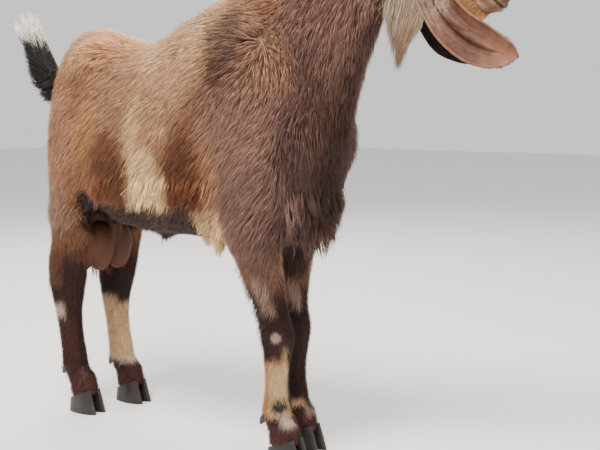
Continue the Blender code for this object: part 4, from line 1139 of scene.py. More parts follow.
def long_hair(name, roots, out, tips, bend, width, colours, steps, clump, rng, axis):
    """Long hairs from roots to tips that bow out on their way, drawn into locks."""
    count = len(roots)
    tips, middles = clumped(roots, tips, toward(roots, tips, 0.42) + bend, clump, 0.05, rng)
    t = np.linspace(0, 1, steps)[None, :, None]
    centres = roots[:, None] * (1 - t) ** 2 + middles[:, None] * 2 * t * (1 - t) + tips[:, None] * t**2
    wave = rng.normal(size=(count, 1, 3)) * WAVE_REACH * np.sin(t * rng.uniform(4, 10, (count, 1, 1))) * t
    chart = chart_round(roots, roots.mean(axis=0), axis, (0.3, 1, 0.2))
    return tufts(name, centres + wave, out, width * rng.uniform(0.7, 1.3, count), *colours, chart)


def skin_roots(skin, wanted, spacing, rng):
    """Roots on the part of the skin that wanted gives."""
    return scatter(skin, lambda points, n: wanted(points, n) / spacing**2, rng)


BEARD_FROM, BEARD_TO = 0.005, 0.125
BEARD_TIPS = ((0.0, 0.835), (0.2, 0.795), (0.38, 0.766), (0.62, 0.766), (0.8, 0.800), (1.0, 0.832))
# The beard's shape: at a height, its middle in x and how far it reaches to each side
BEARD_HEIGHTS = (0.772, 0.800, 0.838, 0.905)
BEARD_MIDDLES = (0.211, 0.213, 0.219, 0.221)
BEARD_REACH = (0.004, 0.014, 0.029, 0.031)
BEARD_WAY = np.array([0.891, 0.454])
BEARD_ACROSS = np.array([-0.454, 0.891])
# The side of the head that long hairs under it face
HEAD_RIGHT = HEAD_TURN @ Vector((0, -1, 0))


def under_head(h, n):
    """Which places lie under the jaw, and how squarely they face down."""
    return (h[:, 2] < -0.09) & (h[:, 2] > -0.16), -(n @ np.array(HEAD_TURN))[:, 2]


def on_throat(points, n):
    h = local_head(points)
    under, down = under_head(h, n)
    middle = under & (np.abs(h[:, 1]) < 0.036) & (h[:, 0] > BEARD_FROM) & (h[:, 0] < BEARD_TO)
    return middle * smoothstep(-0.10, 0.3, down)


def beard_tips(roots, rng):
    """Where the beard's hairs end, and how they bow out on their way."""
    count, h = len(roots), local_head(roots)
    share = np.argsort(np.argsort(h[:, 0])) / count
    low = np.interp(share, *zip(*BEARD_TIPS))
    short = np.where(rng.uniform(0, 1, count) < 0.3, rng.uniform(0, 0.09, count), 0.0)
    low = low + 0.012 * (h[:, 1] / 0.03) ** 2 + np.abs(rng.normal(0, 0.012, count)) + short
    tips = roots.copy()
    tips[:, 2] = np.minimum(low, roots[:, 2] - 0.04)
    ahead = (2 * share - 1)[:, None]
    reach = np.interp(tips[:, 2], BEARD_HEIGHTS, BEARD_REACH)[:, None] * ahead
    middle = np.column_stack([np.interp(tips[:, 2], BEARD_HEIGHTS, BEARD_MIDDLES), np.full(count, 0.022)])
    tips[:, :2] = middle + np.array(SHIFT)[:2] + BEARD_WAY * reach + rng.normal(0, 0.003, (count, 2))
    tips[:, :2] += BEARD_ACROSS * (0.3 * h[:, 1])[:, None]
    return tips, np.column_stack([BEARD_WAY * 0.012 * ahead, np.zeros(count)])


def beard_colours(tips, rng):
    """Grey above and brown at the tip, with darker streaks."""
    count = len(tips)
    pale = mix(BEARD_GREY, CREAM, rng.uniform(0, 0.45, count)) * rng.uniform(0.75, 1.15, (count, 1))
    tip = mix(pale, BROWN, smoothstep(0.84, 0.79, tips[:, 2]) * rng.uniform(0.3, 1, count))
    streak = (rng.uniform(0, 1, count) > 0.85)[:, None]
    # The dark streaks are the beard's own; the overall darkening of the roots is painted shade under the
    # outer hair
    return np.where(streak, pale * 0.55, pale) * 0.85, tip


def grow_beard(skin):
    """The long hair of the throat, grey above and brown at its tip."""
    rng = np.random.default_rng(SEED + 20)
    roots, _ = skin_roots(skin, on_throat, 0.0017, rng)
    tips, bend = beard_tips(roots, rng)
    colours = beard_colours(tips, rng)
    facing = np.tile(HEAD_RIGHT, (len(roots), 1))
    return long_hair("coat_beard", roots, facing, tips, bend, 0.0012, colours, 6, 0.4, rng, UPWARDS)


def on_chin(points, n):
    h = local_head(points)
    under, down = under_head(h, n)
    return under * (down > 0.2) * fall(0.8, 1.1, np.hypot((h[:, 0] - 0.218) / 0.030, h[:, 1] / 0.022))


def grow_chin(skin):
    """The short golden tuft under the chin."""
    rng = np.random.default_rng(SEED + 21)
    roots, _ = skin_roots(skin, on_chin, 0.0013, rng)
    count = len(roots)
    hang = np.array(HEAD_TURN @ Vector((-0.009, 0, -0.026)))
    tips = roots + hang * rng.uniform(0.7, 1.15, (count, 1)) + rng.normal(0, 0.003, (count, 3))
    colour = mix(GOLD, BROWN, rng.uniform(0.1, 0.9, count))
    bend = np.array([0.004, 0.0, -0.002])
    facing = np.tile(HEAD_RIGHT, (count, 1))
    # Painted shade: the roots darker than the tips
    colours = (colour * 0.6, colour)
    return long_hair("coat_chin", roots, facing, tips, bend, 0.0009, colours, 4, 0.4, rng, UPWARDS)


TAIL_HAIR = 0.066
TAIL_SPREAD = 0.030
TAIL_STEPS = 60
# The way from one of the tail's two locks to the other
TAIL_PARTING = np.array([0.75, 0.65, 0.0])


def on_tail(points, n):
    p = design(points)
    return fall(-0.684, -0.664, p[:, 0]) * smoothstep(0.70, 0.72, p[:, 2])


def grow_tail(skin):
    """The tail's hair, swept towards its tip, which parts in two."""
    rng = np.random.default_rng(SEED + 22)
    roots, out = skin_roots(skin, on_tail, 0.0032, rng)
    count = len(roots)
    line = along([at(p) for p in TAIL], TAIL_STEPS)
    nearest = np.argmin(np.linalg.norm(roots[:, None] - line[None], axis=2), axis=1)
    forward = unit(np.gradient(line, axis=0))[nearest]
    share = nearest / (TAIL_STEPS - 1)
    length = TAIL_HAIR * rng.uniform(0.75, 1.12, count) * (1 + 0.20 * share)
    spread = TAIL_SPREAD * (0.75 - 0.25 * share) * rng.uniform(0.5, 1.0, count)
    tips = roots + forward * length[:, None] + out * spread[:, None]
    way = np.sign((roots - line[nearest]) @ TAIL_PARTING + 1e-6)
    fork = TAIL_PARTING * way[:, None] - 0.2 * np.cross(forward, np.array([0.0, 1.0, 0.0]))
    tips += fork * (smoothstep(0.72, 1.0, share) * 0.014)[:, None]
    colour = colours_at(roots, out)
    white = smoothstep(0.872, 0.890, tips[:, 2] - SHIFT.z + rng.normal(0, 0.006, count))
    # Painted shade: the roots darker than the tips
    colours = (colour * 0.7, mix(colour * 1.1, WHITE, white))
    bend, axis = out * 0.010, (-0.8, 0, 0.6)
    return long_hair("coat_tail", roots, out, tips, bend, 0.0024, colours, 6, 0.55, rng, axis)


def hanging(skin, rng, name, wanted, spacing, hang, lift, width, clump, axis):
    """Longer hair that hangs off the body where wanted says, in the coat's own colours."""
    roots, out = skin_roots(skin, wanted, spacing, rng)
    reach = rng.uniform(0.75, 1.15, (len(roots), 1))
    tips = roots + np.array(hang) * reach + out * lift + rng.normal(0, 0.004, (len(roots), 3))
    colours = shades(colours_at(roots, out), rng)
    return long_hair(name, roots, out, tips, out * lift * 0.8, width, colours, 4, clump, rng, axis)


def fringe_share(points, n):
    p = design(points)
    edge = band(0.535, 0.580, p[:, 2], 0.010) * band(-0.46, -0.13, p[:, 0], 0.015)
    return edge * smoothstep(0.25, 0.5, np.abs(n[:, 1])) * (1 - leg_share(points))


def brisket_share(points, n):
    p = design(points)
    front = smoothstep(0.0, 0.03, p[:, 0]) * fall(0.06, 0.09, np.abs(p[:, 1]))
    return band(0.470, 0.555, p[:, 2], 0.015) * front


def elbow_share(points, n):
    p = design(points)
    near = np.hypot((p[:, 0] + 0.140) / 0.045, (p[:, 2] - 0.475) / 0.028)
    return fall(0.8, 1.1, near) * (np.abs(p[:, 1]) > 0.04)


def feather_share(points, n):
    """Behind the hocks, the cannons and the knees."""
    p = design(points)
    fore = band(0.25, 0.40, p[:, 2], 0.02) + 0.5 * band(0.09, 0.13, p[:, 2], 0.01)
    hind = band(0.30, 0.42, p[:, 2], 0.02) + 0.5 * band(0.09, 0.14, p[:, 2], 0.01)
    share = np.where(p[:, 0] > HALFWAY, fore, hind) * leg_share(points)
    return share * smoothstep(0.45, 0.8, -n[:, 0])


def sheath_share(points, n):
    p = design(points)
    near = np.hypot((p[:, 0] + 0.418) / 0.035, p[:, 1] / 0.03)
    return fall(0.8, 1.1, near) * (n[:, 2] < -0.3) * (p[:, 2] > 0.38)


# Hair that hangs: name, where, spacing, how it hangs, lift, width, how far it clumps and the unwrap's axis
HANGING = (
    ("coat_fringe", fringe_share, 0.0042, (-0.014, 0, -0.050), 0.015, 0.0024, 0.6, FORWARDS),
    ("coat_brisket", brisket_share, 0.0040, (0.006, 0, -0.050), 0.016, 0.0024, 0.6, FORWARDS),
    ("coat_elbows", elbow_share, 0.0030, (-0.010, 0, -0.036), 0.012, 0.0020, 0.5, FORWARDS),
    ("coat_feathers", feather_share, 0.0030, (-0.004, 0, -0.030), 0.002, 0.0011, 0.4, UPWARDS),
    ("coat_sheath", sheath_share, 0.0026, (-0.002, 0, -0.015), 0.005, 0.0018, 0.7, FORWARDS),
)


def grow_long_hair(skin):
    made = [grow_beard(skin), grow_chin(skin), grow_tail(skin)]
    for k, row in enumerate(HANGING):
        made.append(hanging(skin, np.random.default_rng(SEED + 23 + k), *row))
    return made


EAR_STATIONS = 104
EAR_POINTS = 57
EAR_HAIRS = 9000
# Inside an ear: how high its rim and veins stand, how wide a vein is and how deep the crease
EAR_RIM, VEIN_HEIGHT, VEIN_WIDTH, CREASE_DEPTH = 0.0011, 0.0009, 0.035, 0.0016


def ear_frames(label):
    side = 1 if label == "left" else -1
    points = [in_head(EAR_ROOT, side)] + [at(p) for p in EAR_PATHS[label]]
    centres = along(points, EAR_STATIONS)
    tangents = unit(np.gradient(centres, axis=0))
    sideways = np.array(HEAD_TURN @ Vector((0, side, 0)))
    opening = unit(sideways - tangents * (tangents @ sideways)[:, None])
    return centres, tangents, opening, np.cross(tangents, opening)


# Veins inside an ear: where across it, from where to where along it and how far each drifts
EAR_VEINS = (
    (0.16, 0.30, 0.95, 0.10), (-0.30, 0.34, 0.86, -0.22), (0.42, 0.40, 0.80, 0.24),
    (-0.05, 0.25, 0.98, 0.02),
)


def ear_relief(share, t):
    """Veins, creases and the raised rim inside an ear, in metres."""
    rise = EAR_RIM * bell(np.abs(t) - 0.94, 0.05) * np.ones_like(share)
    for start, low, high, drift in EAR_VEINS:
        vein = bell(t - start - drift * (share - low), VEIN_WIDTH)
        vein = vein * smoothstep(low - 0.05, low + 0.05, share) * fall(high - 0.1, high, share)
        rise = rise + VEIN_HEIGHT * vein
    crease = bell(t - 0.05 - 0.15 * np.sin(3 * share), 0.07)
    return rise - CREASE_DEPTH * crease * smoothstep(0.1, 0.3, share) * fall(0.75, 0.95, share)


# Folds of an ear: where across it each starts and ends, how far along, how wide on either side and how deep
EAR_FOLDS = (
    (0.16, 0.0, 0.30, 0.93, 0.20, 0.035, 0.0052),
    (0.02, -0.42, 0.66, 0.78, 0.12, 0.04, 0.0034),
    (0.45, 0.30, 0.30, 0.90, 0.16, 0.16, -0.0036),
    (-0.60, -0.40, 0.25, 0.80, 0.14, 0.14, -0.0022),
)


def ear_folds(share, t):
    """Folds that bend both faces of an ear."""
    total = 0.0
    for start, end, low, high, before, after, depth in EAR_FOLDS:
        middle = toward(start, end, np.clip((share - low) / (high - low), 0, 1))
        fold = bell(t - middle, np.where(t < middle, before, after))
        fold = fold * smoothstep(low - 0.06, low + 0.06, share) * fall(high - 0.12, high, share)
        total = total - depth * fold
    return total


def ear_surfaces(label, shares, t):
    """Places on an ear's back and cup, the way out at each, and the way along the ear."""
    centres, tangents, opening, across = ear_frames(label)
    width, curl = [smooth_curve(table, shares)[:, 0] for table in (EAR_WIDTH, EAR_CURL)]
    places = np.column_stack([shares * 0.3, np.zeros_like(shares), np.full_like(shares, ord(label[0]))])
    ripple = waves(places, 0.09, SEED + 40, 2)
    angle = curl[:, None] * t[None] / 2
    way = opening[:, None] * -np.cos(angle)[:, :, None] + across[:, None] * np.sin(angle)[:, :, None]
    radius = (width / curl)[:, None, None]
    axis = centres[:, None] + opening[:, None] * radius
    half = 0.5 * toward(EAR_EDGE, EAR_THICKNESS, 1 - t**2)[None, :, None]
    fold = (0.0030 * ripple[:, None] * t[None] ** 2 + ear_folds(shares[:, None], t[None]))[:, :, None]
    relief = ear_relief(shares[:, None], t[None])[:, :, None]
    return axis + way * (radius + half + fold), axis + way * (radius - half + fold - relief), way, tangents


def grid_faces(rows, around):
    """Triangles over rings of places, from each ring to the next."""
    index = np.arange(rows * around).reshape(rows, around)
    a, d = index[:-1], index[1:]
    b, c = np.roll(a, -1, axis=1), np.roll(d, -1, axis=1)
    return np.concatenate([np.stack([a, b, c], -1).reshape(-1, 3), np.stack([a, c, d], -1).reshape(-1, 3)])


def face_outwards(mesh):
    bm = bmesh.new()
    bm.from_mesh(mesh)
    bmesh.ops.recalc_face_normals(bm, faces=bm.faces)
    bm.to_mesh(mesh)
    bm.free()
    mesh.shade_smooth()


def make_ear(label):
    """An ear as a thin curled leaf: out along its back and home along its cup."""
    shares, t = np.linspace(0, 1, EAR_STATIONS), np.linspace(-1, 1, EAR_POINTS)
    back, cup, way, tangents = ear_surfaces(label, shares, t)
    points = np.concatenate([back, cup[:, ::-1]], axis=1).reshape(-1, 3)
    ends = []
    for row in np.arange(len(points)).reshape(EAR_STATIONS, -1)[[0, -1]]:
        for i in range(EAR_POINTS - 1):
            ends += [(row[i], row[i + 1], row[-2 - i]), (row[i], row[-2 - i], row[-1 - i])]
    faces = np.concatenate([grid_faces(EAR_STATIONS, 2 * EAR_POINTS), ends])
    ear = new_object("ear_leaf_" + label, mesh_of("ear_leaf_" + label, points, faces))
    face_outwards(ear.data)
    paint(ear, ear_colours(shares, t, label).reshape(-1, 3))
    return ear, shares, t, back, way, tangents


def ear_colours(shares, t, label):
    """Bare pinkish brown inside with mottled edges, darker raised lines on each vein and painted shade in
    the folds and the crease, black-haired behind.
    """
    share, across = [rows.ravel() for rows in np.meshgrid(shares, t, indexing="ij")]
    place = np.column_stack([share * 0.25, across * 0.05, np.full(share.size, 0.1 * len(label))])
    blotch = waves(place, 0.05, SEED + 41, 3)
    speckle = waves(place * 6, 0.03, SEED + 43, 2)
    relief = ear_relief(share, across)
    # Darker on each raised vein, and painted shade where the crease sinks
    veins_and_crease_shade = 0.45 * smoothstep(0.0003, 0.0009, relief) + 0.6 * smoothstep(-0.0004, -0.0014, relief)
    cup = mix(EAR_FLESH, EAR_SHADE, 0.45 + 0.45 * np.clip(blotch + 0.3 * speckle, -1, 1))
    # Painted shade in the ear's folds
    cup = mix(cup, MAROON, 0.75 * smoothstep(0.0016, 0.0048, -ear_folds(share, across)))
    cup = mix(cup, EAR_TIP, 0.5 * smoothstep(0.80, 0.97, share))
    cup = mix(cup, MAROON, np.clip(veins_and_crease_shade, 0, 1))
    cup = mix(cup, EAR_TIP, 0.5 * smoothstep(0.86, 0.97, np.abs(across)))
    top = fall(0.56, 0.63, share + 0.05 * blotch) * smoothstep(-0.5, 0.3, speckle)
    cup = mix(cup, EAR_DOWN, 0.75 * top)
    back = mix(BLACK, DARK, 0.4 + 0.3 * blotch)
    back = mix(back, TAN, 0.4 * smoothstep(0.97, 1.0, np.abs(across)))
    shape = (len(shares), len(t), 3)
    return np.concatenate([back.reshape(shape), cup.reshape(shape)[:, ::-1]], axis=1)


def ear_hair(label, ear, rng):
    """Short dark hair on the ear's back, with a fine edge."""
    _, shares, t, back, way, tangents = ear
    weight = smooth_curve(EAR_WIDTH, shares)[:-2, 0]
    rows = rng.choice(EAR_STATIONS - 2, EAR_HAIRS, p=weight / weight.sum())
    columns = rng.integers(0, EAR_POINTS - 1, EAR_HAIRS)
    s, u = rng.uniform(0, 1, (2, EAR_HAIRS))
    near = mix(back[rows, columns], back[rows, columns + 1], s)
    roots = mix(near, mix(back[rows + 1, columns], back[rows + 1, columns + 1], s), u)
    out = unit(way[rows, columns])
    edge = np.abs(t[columns]) > 0.93
    sideways = unit(back[rows, columns + 1] - back[rows, columns]) * np.sign(t[columns] + 1e-6)[:, None]
    lie = unit(tangents[rows] + 0.16 * rng.normal(size=(EAR_HAIRS, 3)) + sideways * (0.05 * edge)[:, None])
    length = rng.uniform(0.006, 0.010, EAR_HAIRS) * np.where(edge, 0.6, 1.0)
    length *= np.where(rows > 0.93 * EAR_STATIONS, 0.4, 1.0)
    lift = rng.uniform(0.0010, 0.0026, EAR_HAIRS) - 0.002 * edge
    tips = roots + lie * length[:, None] + out * lift[:, None]
    colour = mix(BLACK, DARK, np.clip(rng.normal(0.3, 0.3, EAR_HAIRS), 0, 1))
    colour = mix(colour, BROWN, 0.4 * edge)
    chart = spread_on_map(np.column_stack([rows / EAR_STATIONS, (columns + s) / EAR_POINTS]))
    centres = np.stack([roots - out * 0.0006, tips], axis=1)
    width = np.full(EAR_HAIRS, 0.0011)
    # Painted shade: the roots darker than the tips
    return tufts("coat_ear_" + label, centres, out, width, colour * 0.7, colour * 1.2, chart)


EYE_RINGS, EYE_ROUND = 40, 56
# The eyeball's clearance in its solid, and how high and how far round the cornea bulges
EYE_CLEARANCE = 0.0003
CORNEA_RISE, CORNEA_REACH = 0.0012, 0.42


def make_eye(label):
    """An eyeball in fine rings about its own outward axis, with places on it kept for its colours."""
    side = 1 if label == "left" else -1
    out, forward = [np.array(HEAD_TURN) @ way for way in eye_axes(side)[1:3]]
    level = unit(np.cross(np.array([0.0, 0.0, 1.0]), out))
    level *= np.sign(level @ forward)
    upright = np.cross(out, level)
    upright *= np.sign(upright[2])
    polar = np.append(np.repeat(math.pi * np.arange(1, EYE_RINGS) / EYE_RINGS, EYE_ROUND), [0.0, math.pi])
    angle = np.append(np.tile(2 * math.pi * np.arange(EYE_ROUND) / EYE_ROUND, EYE_RINGS - 1), [0.0, 0.0])
    places = np.column_stack([np.sin(polar) * np.cos(angle), np.sin(polar) * np.sin(angle), np.cos(polar)])
    radius = EYE_RADIUS - EYE_CLEARANCE + CORNEA_RISE * np.exp(-((polar / CORNEA_REACH) ** 4))
    spokes = radius[:, None] * (places @ np.array([level, upright, out]))
    points = np.array(middle_of("eye_" + label)) + spokes
    first, last, base = len(points) - 2, len(points) - 1, (EYE_RINGS - 2) * EYE_ROUND
    ends = [(first, k, (k + 1) % EYE_ROUND) for k in range(EYE_ROUND)]
    ends += [(last, base + (k + 1) % EYE_ROUND, base + k) for k in range(EYE_ROUND)]
    mesh = mesh_of("eyeball_" + label, points, np.concatenate([grid_faces(EYE_RINGS - 1, EYE_ROUND), ends]))
    gaze = mesh.attributes.new("gaze", "FLOAT_VECTOR", "POINT")
    gaze.data.foreach_set("vector", places.astype(np.float32).ravel())
    face_outwards(mesh)
    return new_object("eyeball_" + label, mesh)


CLAWS = [f"claw_{leg}_{part}" for leg in LEGS for part in ("outer", "inner")]
CORONET_SLOPE = math.radians(22)
HOOF_ROUND = 40
HOOF_ROWS = 16
HOOF_HIDDEN = 0.010
HOOF_HEIGHT = 0.046
RIDGE_HEIGHT = 0.0007
# How far round a hoof is from square, how much narrower its toe is, and how far the toe slopes back
HOOF_SQUARENESS, HOOF_NARROWING, TOE_SLOPE = 0.87, 0.36, 0.0150
# What the sole's edge and the clearance in the solid take off
SOLE_EDGE, HOOF_CLEARANCE = 0.0012, 0.001


def hoof_points(node):
    """Rings from the sole up: ridged horn, narrower ahead and above, with a sloping top."""
    low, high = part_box(node)
    outwards = (1 if "left" in node else -1) * (1 if node.endswith("outer") else -1)
    inner_y, width = (low if outwards > 0 else high)[1], high[1] - low[1]
    middle_x, half_x = (low[0] + high[0]) / 2, (high[0] - low[0]) / 2
    share = (np.arange(HOOF_ROWS + 1) / HOOF_ROWS)[:, None]
    angle = (2 * math.pi * np.arange(HOOF_ROUND) / HOOF_ROUND)[None]
    ridge = RIDGE_HEIGHT * np.sin(share * 34 + np.sin(share * 9)) * smoothstep(0.05, 0.2, share)
    c, s = [np.copysign(np.abs(way) ** HOOF_SQUARENESS, way) for way in (np.cos(angle), np.sin(angle))]
    ahead = np.maximum(c, 0)
    narrow = 1 - HOOF_NARROWING * ahead**2
    x = middle_x + (half_x - HOOF_CLEARANCE + ridge) * c * (1 - 0.10 * share)
    x = x - TOE_SLOPE * share * ahead**0.7
    half_y = (0.5 * width - 0.0006 + 0.5 * ridge) * (1 - 0.13 * share) * narrow
    y = inner_y + outwards * 0.25 * width * (1 + narrow) + half_y * s
    top = HOOF_HEIGHT + (x - middle_x - 0.026) * math.tan(CORONET_SLOPE) + HOOF_HIDDEN
    rings = np.stack([x, y, np.maximum(share * top, SOLE_EDGE)], axis=-1)
    middle = np.array([middle_x, inner_y + outwards * width / 2, 0.0])
    sole = middle + (rings[:1] - middle) * np.array([0.96, 0.95, 0.0])
    return np.concatenate([sole, rings]).reshape(-1, 3)


def make_hoof(node):
    """A claw of a hoof with growth rings, a flat sole and a top that reaches up under the hair."""
    points = hoof_points(node)
    faces = list(grid_faces(HOOF_ROWS + 2, HOOF_ROUND))
    top = (HOOF_ROWS + 1) * HOOF_ROUND
    for k in range(1, HOOF_ROUND - 1):
        faces += [(0, k + 1, k), (top, top + k, top + k + 1)]
    hoof = new_object("hoof_" + node[5:], mesh_of("hoof_" + node[5:], points, np.array(faces)))
    heights = points[:, 2] / 0.05
    pale = smoothstep(0.0, 0.25, heights) * fall(0.35, 0.8, heights)
    streak = waves(points * np.array([1, 1, 0.15]), 0.02, SEED + 50, 2)
    paint(hoof, mix(HORN_DARK, HORN_PALE, np.clip(0.25 * pale + 0.25 * streak, 0, 1)))
    hoof.data.set_sharp_from_angle(angle=math.radians(40))
    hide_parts(node)
    return hoof


# Where a foot's dewclaws stand: how far behind its middle, and how high
DEWCLAWS = {"fore": (-0.053, 0.090), "hind": (-0.060, 0.100)}
DEWCLAW_RADII = (0.0075, 0.0080, 0.0030)


def make_dewclaws():
    made = []
    for leg in LEGS:
        x, y = foot_middle(leg)
        back, height = DEWCLAWS[leg[:4]]
        for across, label in ((-1, "right"), (1, "left")):
            start = Vector((x + back + 0.012, y + across * 0.013, height + 0.006)) - SHIFT
            end = Vector((x + back - 0.006, y + across * 0.016, height - 0.016)) - SHIFT
            path = [start, (start + end) / 2 - Vector((0.003, 0, 0)), end]
            claw = tube(f"dewclaw_{leg}_{label}", path, DEWCLAW_RADII, 10, 14)
            claw.data.shade_smooth()
            paint(claw, np.tile(DEWCLAW, (len(claw.data.vertices), 1)))
            made.append(claw)
    return made


class Finish:
    """A material, and the nodes that lead into its shader."""

    def __init__(self, name, **sockets):
        self.made = bpy.data.materials.new(name)
        self.made.use_nodes = True
        self.nodes, self.links = self.made.node_tree.nodes, self.made.node_tree.links
        self.shader = self.nodes["Principled BSDF"]
        for socket, value in sockets.items():
            self.put(self.shader, socket.replace("_", " "), value)

    def put(self, node, socket, value):
        """Sets a socket, or links it to the output that its value comes from."""
        if isinstance(value, bpy.types.NodeSocket):
            self.links.new(value, node.inputs[socket])
        else:
            node.inputs[socket].default_value = value

    def add(self, kind, sockets, **settings):
        """A new node's outputs."""
        node = self.nodes.new(kind)
        for name, value in settings.items():
            setattr(node, name, value)
        for socket, value in sockets.items():
            self.put(node, socket, value)
        return node.outputs

    def noise(self, scale, detail=4.0, stretch=(1, 1, 1)):
        place = self.add("ShaderNodeTexCoord", {})["Object"]
        place = self.add("ShaderNodeMapping", {"Scale": stretch, "Vector": place})["Vector"]
        return self.add("ShaderNodeTexNoise", {"Scale": scale, "Detail": detail, "Vector": place})["Fac"]

    def tint(self, factor, low, high):
        """The painted colour, made lighter and darker by a factor."""
        colour = self.add("ShaderNodeAttribute", {}, attribute_name="coat")["Color"]
        reach = {"To Min": low, "To Max": high, "From Min": 0.3, "From Max": 0.7, "Value": factor}
        scale = self.add("ShaderNodeMapRange", reach)["Result"]
        product = self.add("ShaderNodeVectorMath", {0: colour, "Scale": scale}, operation="SCALE")
        self.put(self.shader, "Base Color", product["Vector"])

    def bump(self, height, strength, distance):
        sockets = {"Strength": strength, "Distance": distance, "Height": height}
        self.put(self.shader, "Normal", self.add("ShaderNodeBump", sockets)["Normal"])

    def maths(self, operation, *values):
        return self.add("ShaderNodeMath", dict(enumerate(values)), operation=operation)[0]

    def step(self, value, low, high):
        sockets = {"From Min": low, "From Max": high, "Value": value}
        return self.add("ShaderNodeMapRange", sockets, interpolation_type="SMOOTHSTEP")["Result"]

    def blend(self, factor, a, b):
        """A mix of two colours, which are a mix node's seventh and eighth sockets."""
        return self.add("ShaderNodeMix", {"Factor": factor, 6: a, 7: b}, data_type="RGBA")[2]


def coat_material():
    finish = Finish("coat", Roughness=0.52, Specular_IOR_Level=0.18, Sheen_Weight=0.03, Sheen_Roughness=0.45)
    finish.tint(finish.noise(60), 0.86, 1.14)
    return finish.made


def skin_material():
    finish = Finish("skin", Roughness=0.62, Specular_IOR_Level=0.3)
    fine = finish.noise(900, 3, (1, 1, 0.4))
    finish.tint(fine, 0.55, 1.0)
    finish.bump(fine, 0.5, 0.001)
    return finish.made


def ear_material():
    finish = Finish("ear", Roughness=0.65, Specular_IOR_Level=0.2, Subsurface_Weight=0.08)
    finish.put(finish.shader, "Subsurface Radius", (0.006, 0.002, 0.001))
    finish.tint(finish.noise(70, 7), 0.70, 1.24)
    finish.bump(finish.noise(420, 5), 0.45, 0.0008)
    return finish.made


def horn_material():
    finish = Finish("horn", Roughness=0.45)
    streaks = finish.noise(300, 4, (1, 1, 0.12))
    finish.tint(streaks, 0.7, 1.3)
    finish.bump(streaks, 0.3, 0.0006)
    return finish.made


IRIS_EDGE = 0.60
PUPIL_LENGTH, PUPIL_HEIGHT = 0.36, 0.13
# The eye's colours, as the shader takes them
IRIS_BROWN, IRIS_GOLD, IRIS_RIM = (0.11, 0.042, 0.010, 1), (0.25, 0.12, 0.03, 1), (0.045, 0.022, 0.012, 1)
EYE_WHITE, PUPIL_BLACK = (0.10, 0.065, 0.05, 1), (0.005, 0.005, 0.007, 1)


def eye_material():
    """A brown-gold iris with a level, oblong pupil, in a dark rim."""
    finish = Finish("eye", Roughness=0.06, Specular_IOR_Level=0.1, Coat_Weight=0.7, Coat_Roughness=0.03)
    maths, blend, step = finish.maths, finish.blend, finish.step
    gaze = finish.add("ShaderNodeAttribute", {}, attribute_name="gaze")["Vector"]
    x, y, _ = finish.add("ShaderNodeSeparateXYZ", {0: gaze})
    away = maths("SQRT", maths("ADD", maths("POWER", x, 2.0), maths("POWER", y, 2.0)))
    longways = maths("POWER", maths("ABSOLUTE", maths("DIVIDE", x, PUPIL_LENGTH)), 3.0)
    upways = maths("POWER", maths("ABSOLUTE", maths("DIVIDE", y, PUPIL_HEIGHT)), 3.0)
    turn = maths("MULTIPLY", maths("ARCTAN2", y, x), 4.0)
    place = finish.add("ShaderNodeCombineXYZ", {0: turn, 1: away})[0]
    fibres = finish.add("ShaderNodeTexNoise", {"Scale": 7.0, "Vector": place})["Fac"]
    iris = blend(step(fibres, 0.35, 0.65), IRIS_BROWN, IRIS_GOLD)
    iris = blend(step(away, IRIS_EDGE * 0.72, IRIS_EDGE), iris, IRIS_RIM)
    white = blend(step(away, IRIS_EDGE, IRIS_EDGE + 0.03), iris, EYE_WHITE)
    colour = blend(step(maths("ADD", longways, upways), 0.85, 1.1), PUPIL_BLACK, white)
    finish.put(finish.shader, "Base Color", colour)
    return finish.made


def floor_material():
    return Finish("floor", Roughness=0.85, Base_Color=(0.78, 0.77, 0.75, 1)).made


FLOOR_REACH = 12.0


def make_floor():
    corners = [(-1, -1, 0), (1, -1, 0), (1, 1, 0), (-1, 1, 0)]
    floor = mesh_of("floor", FLOOR_REACH * np.array(corners, float), np.array([(0, 1, 2), (0, 2, 3)]))
    floor = new_object("floor", floor)
    floor.data.materials.append(floor_material())


CAMERA_PLACE = Vector((1.348, -1.728, 0.720))
CAMERA_HEADING = math.radians(38)
CAMERA_PITCH = math.radians(6.483)
CAMERA_LENS = 66.0


def set_camera():
    camera = bpy.data.cameras.new("camera")
    camera.lens = CAMERA_LENS
    camera.sensor_width = 36.0
    obj = new_object("camera", camera)
    ahead = Vector((-math.sin(CAMERA_HEADING), math.cos(CAMERA_HEADING), -math.tan(CAMERA_PITCH)))
    obj.location = at(CAMERA_PLACE)
    obj.rotation_euler = ahead.to_track_quat("-Z", "Y").to_euler()
    bpy.context.scene.camera = obj


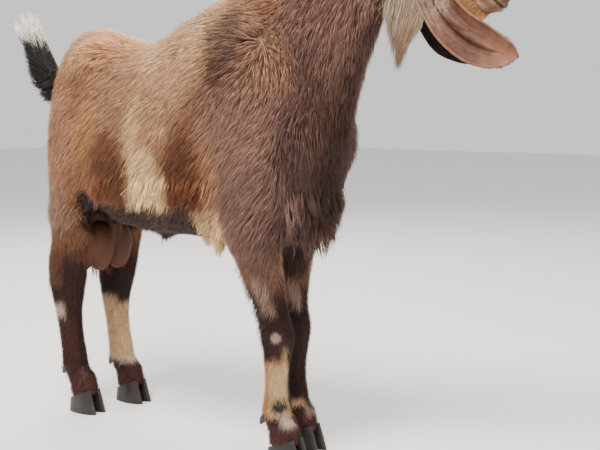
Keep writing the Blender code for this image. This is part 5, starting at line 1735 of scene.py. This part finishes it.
# Lamps: name, place, size, power
LAMPS = (
    ("key", (0.1, -1.9, 3.8), 1.5, 300.0),
    ("fill", (3.4, -0.8, 1.6), 3.0, 30.0),
    ("back", (-2.4, 1.8, 3.0), 2.2, 120.0),
    ("front", (2.4, 2.2, 2.4), 2.4, 35.0),
)
LAMP_AIM = Vector((-0.15, 0.0, 0.6))


def set_lights():
    for name, place, size, power in LAMPS:
        light = bpy.data.lights.new(name, "AREA")
        light.size = size
        light.energy = power
        light.color = (1.0, 0.985, 0.96)
        obj = new_object(name, light)
        obj.location = at(place)
        obj.rotation_euler = (at(LAMP_AIM) - obj.location).to_track_quat("-Z", "Y").to_euler()
    world = bpy.data.worlds.new("studio")
    world.use_nodes = True
    back = world.node_tree.nodes["Background"]
    back.inputs["Color"].default_value = (0.95, 0.95, 0.95, 1)
    back.inputs["Strength"].default_value = 1.0
    bpy.context.scene.world = world


def dress(obj, finish):
    obj.data.materials.clear()
    obj.data.materials.append(finish)
    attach(obj, "root")


def make_goat():
    skin = make_skin()
    skin.data.shade_smooth()
    paint(skin, colours_at(coordinates(skin.data), normals(skin.data)) * 0.75)
    tree = BVHTree.FromObject(skin, bpy.context.evaluated_depsgraph_get())
    hair = grow_coat(skin, tree) + grow_long_hair(skin)
    fur, horn, eye, leaf = coat_material(), horn_material(), eye_material(), ear_material()
    for label in ("right", "left"):
        ear = make_ear(label)
        hair.append(ear_hair(label, ear, np.random.default_rng(SEED + len(label))))
        dress(ear[0], leaf)
        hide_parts("ear_" + label)
        ball = make_eye(label)
        dress(ball, eye)
        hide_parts("eye_" + label)
    dress(skin, skin_material())
    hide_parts(*FLESH)
    replaced = {"coat_beard": "beard", "coat_chin": "chin_tuft", "coat_tail": "tail"}
    for piece in hair:
        dress(piece, fur)
        if piece.name in replaced:
            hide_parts(replaced[piece.name])
    for node in CLAWS:
        dress(make_hoof(node), horn)
    for claw in make_dewclaws():
        dress(claw, horn)


for spare in [obj for obj in bpy.data.objects if obj.name == "Cube"]:
    drop(spare)
make_goat()
make_floor()
set_camera()
set_lights()
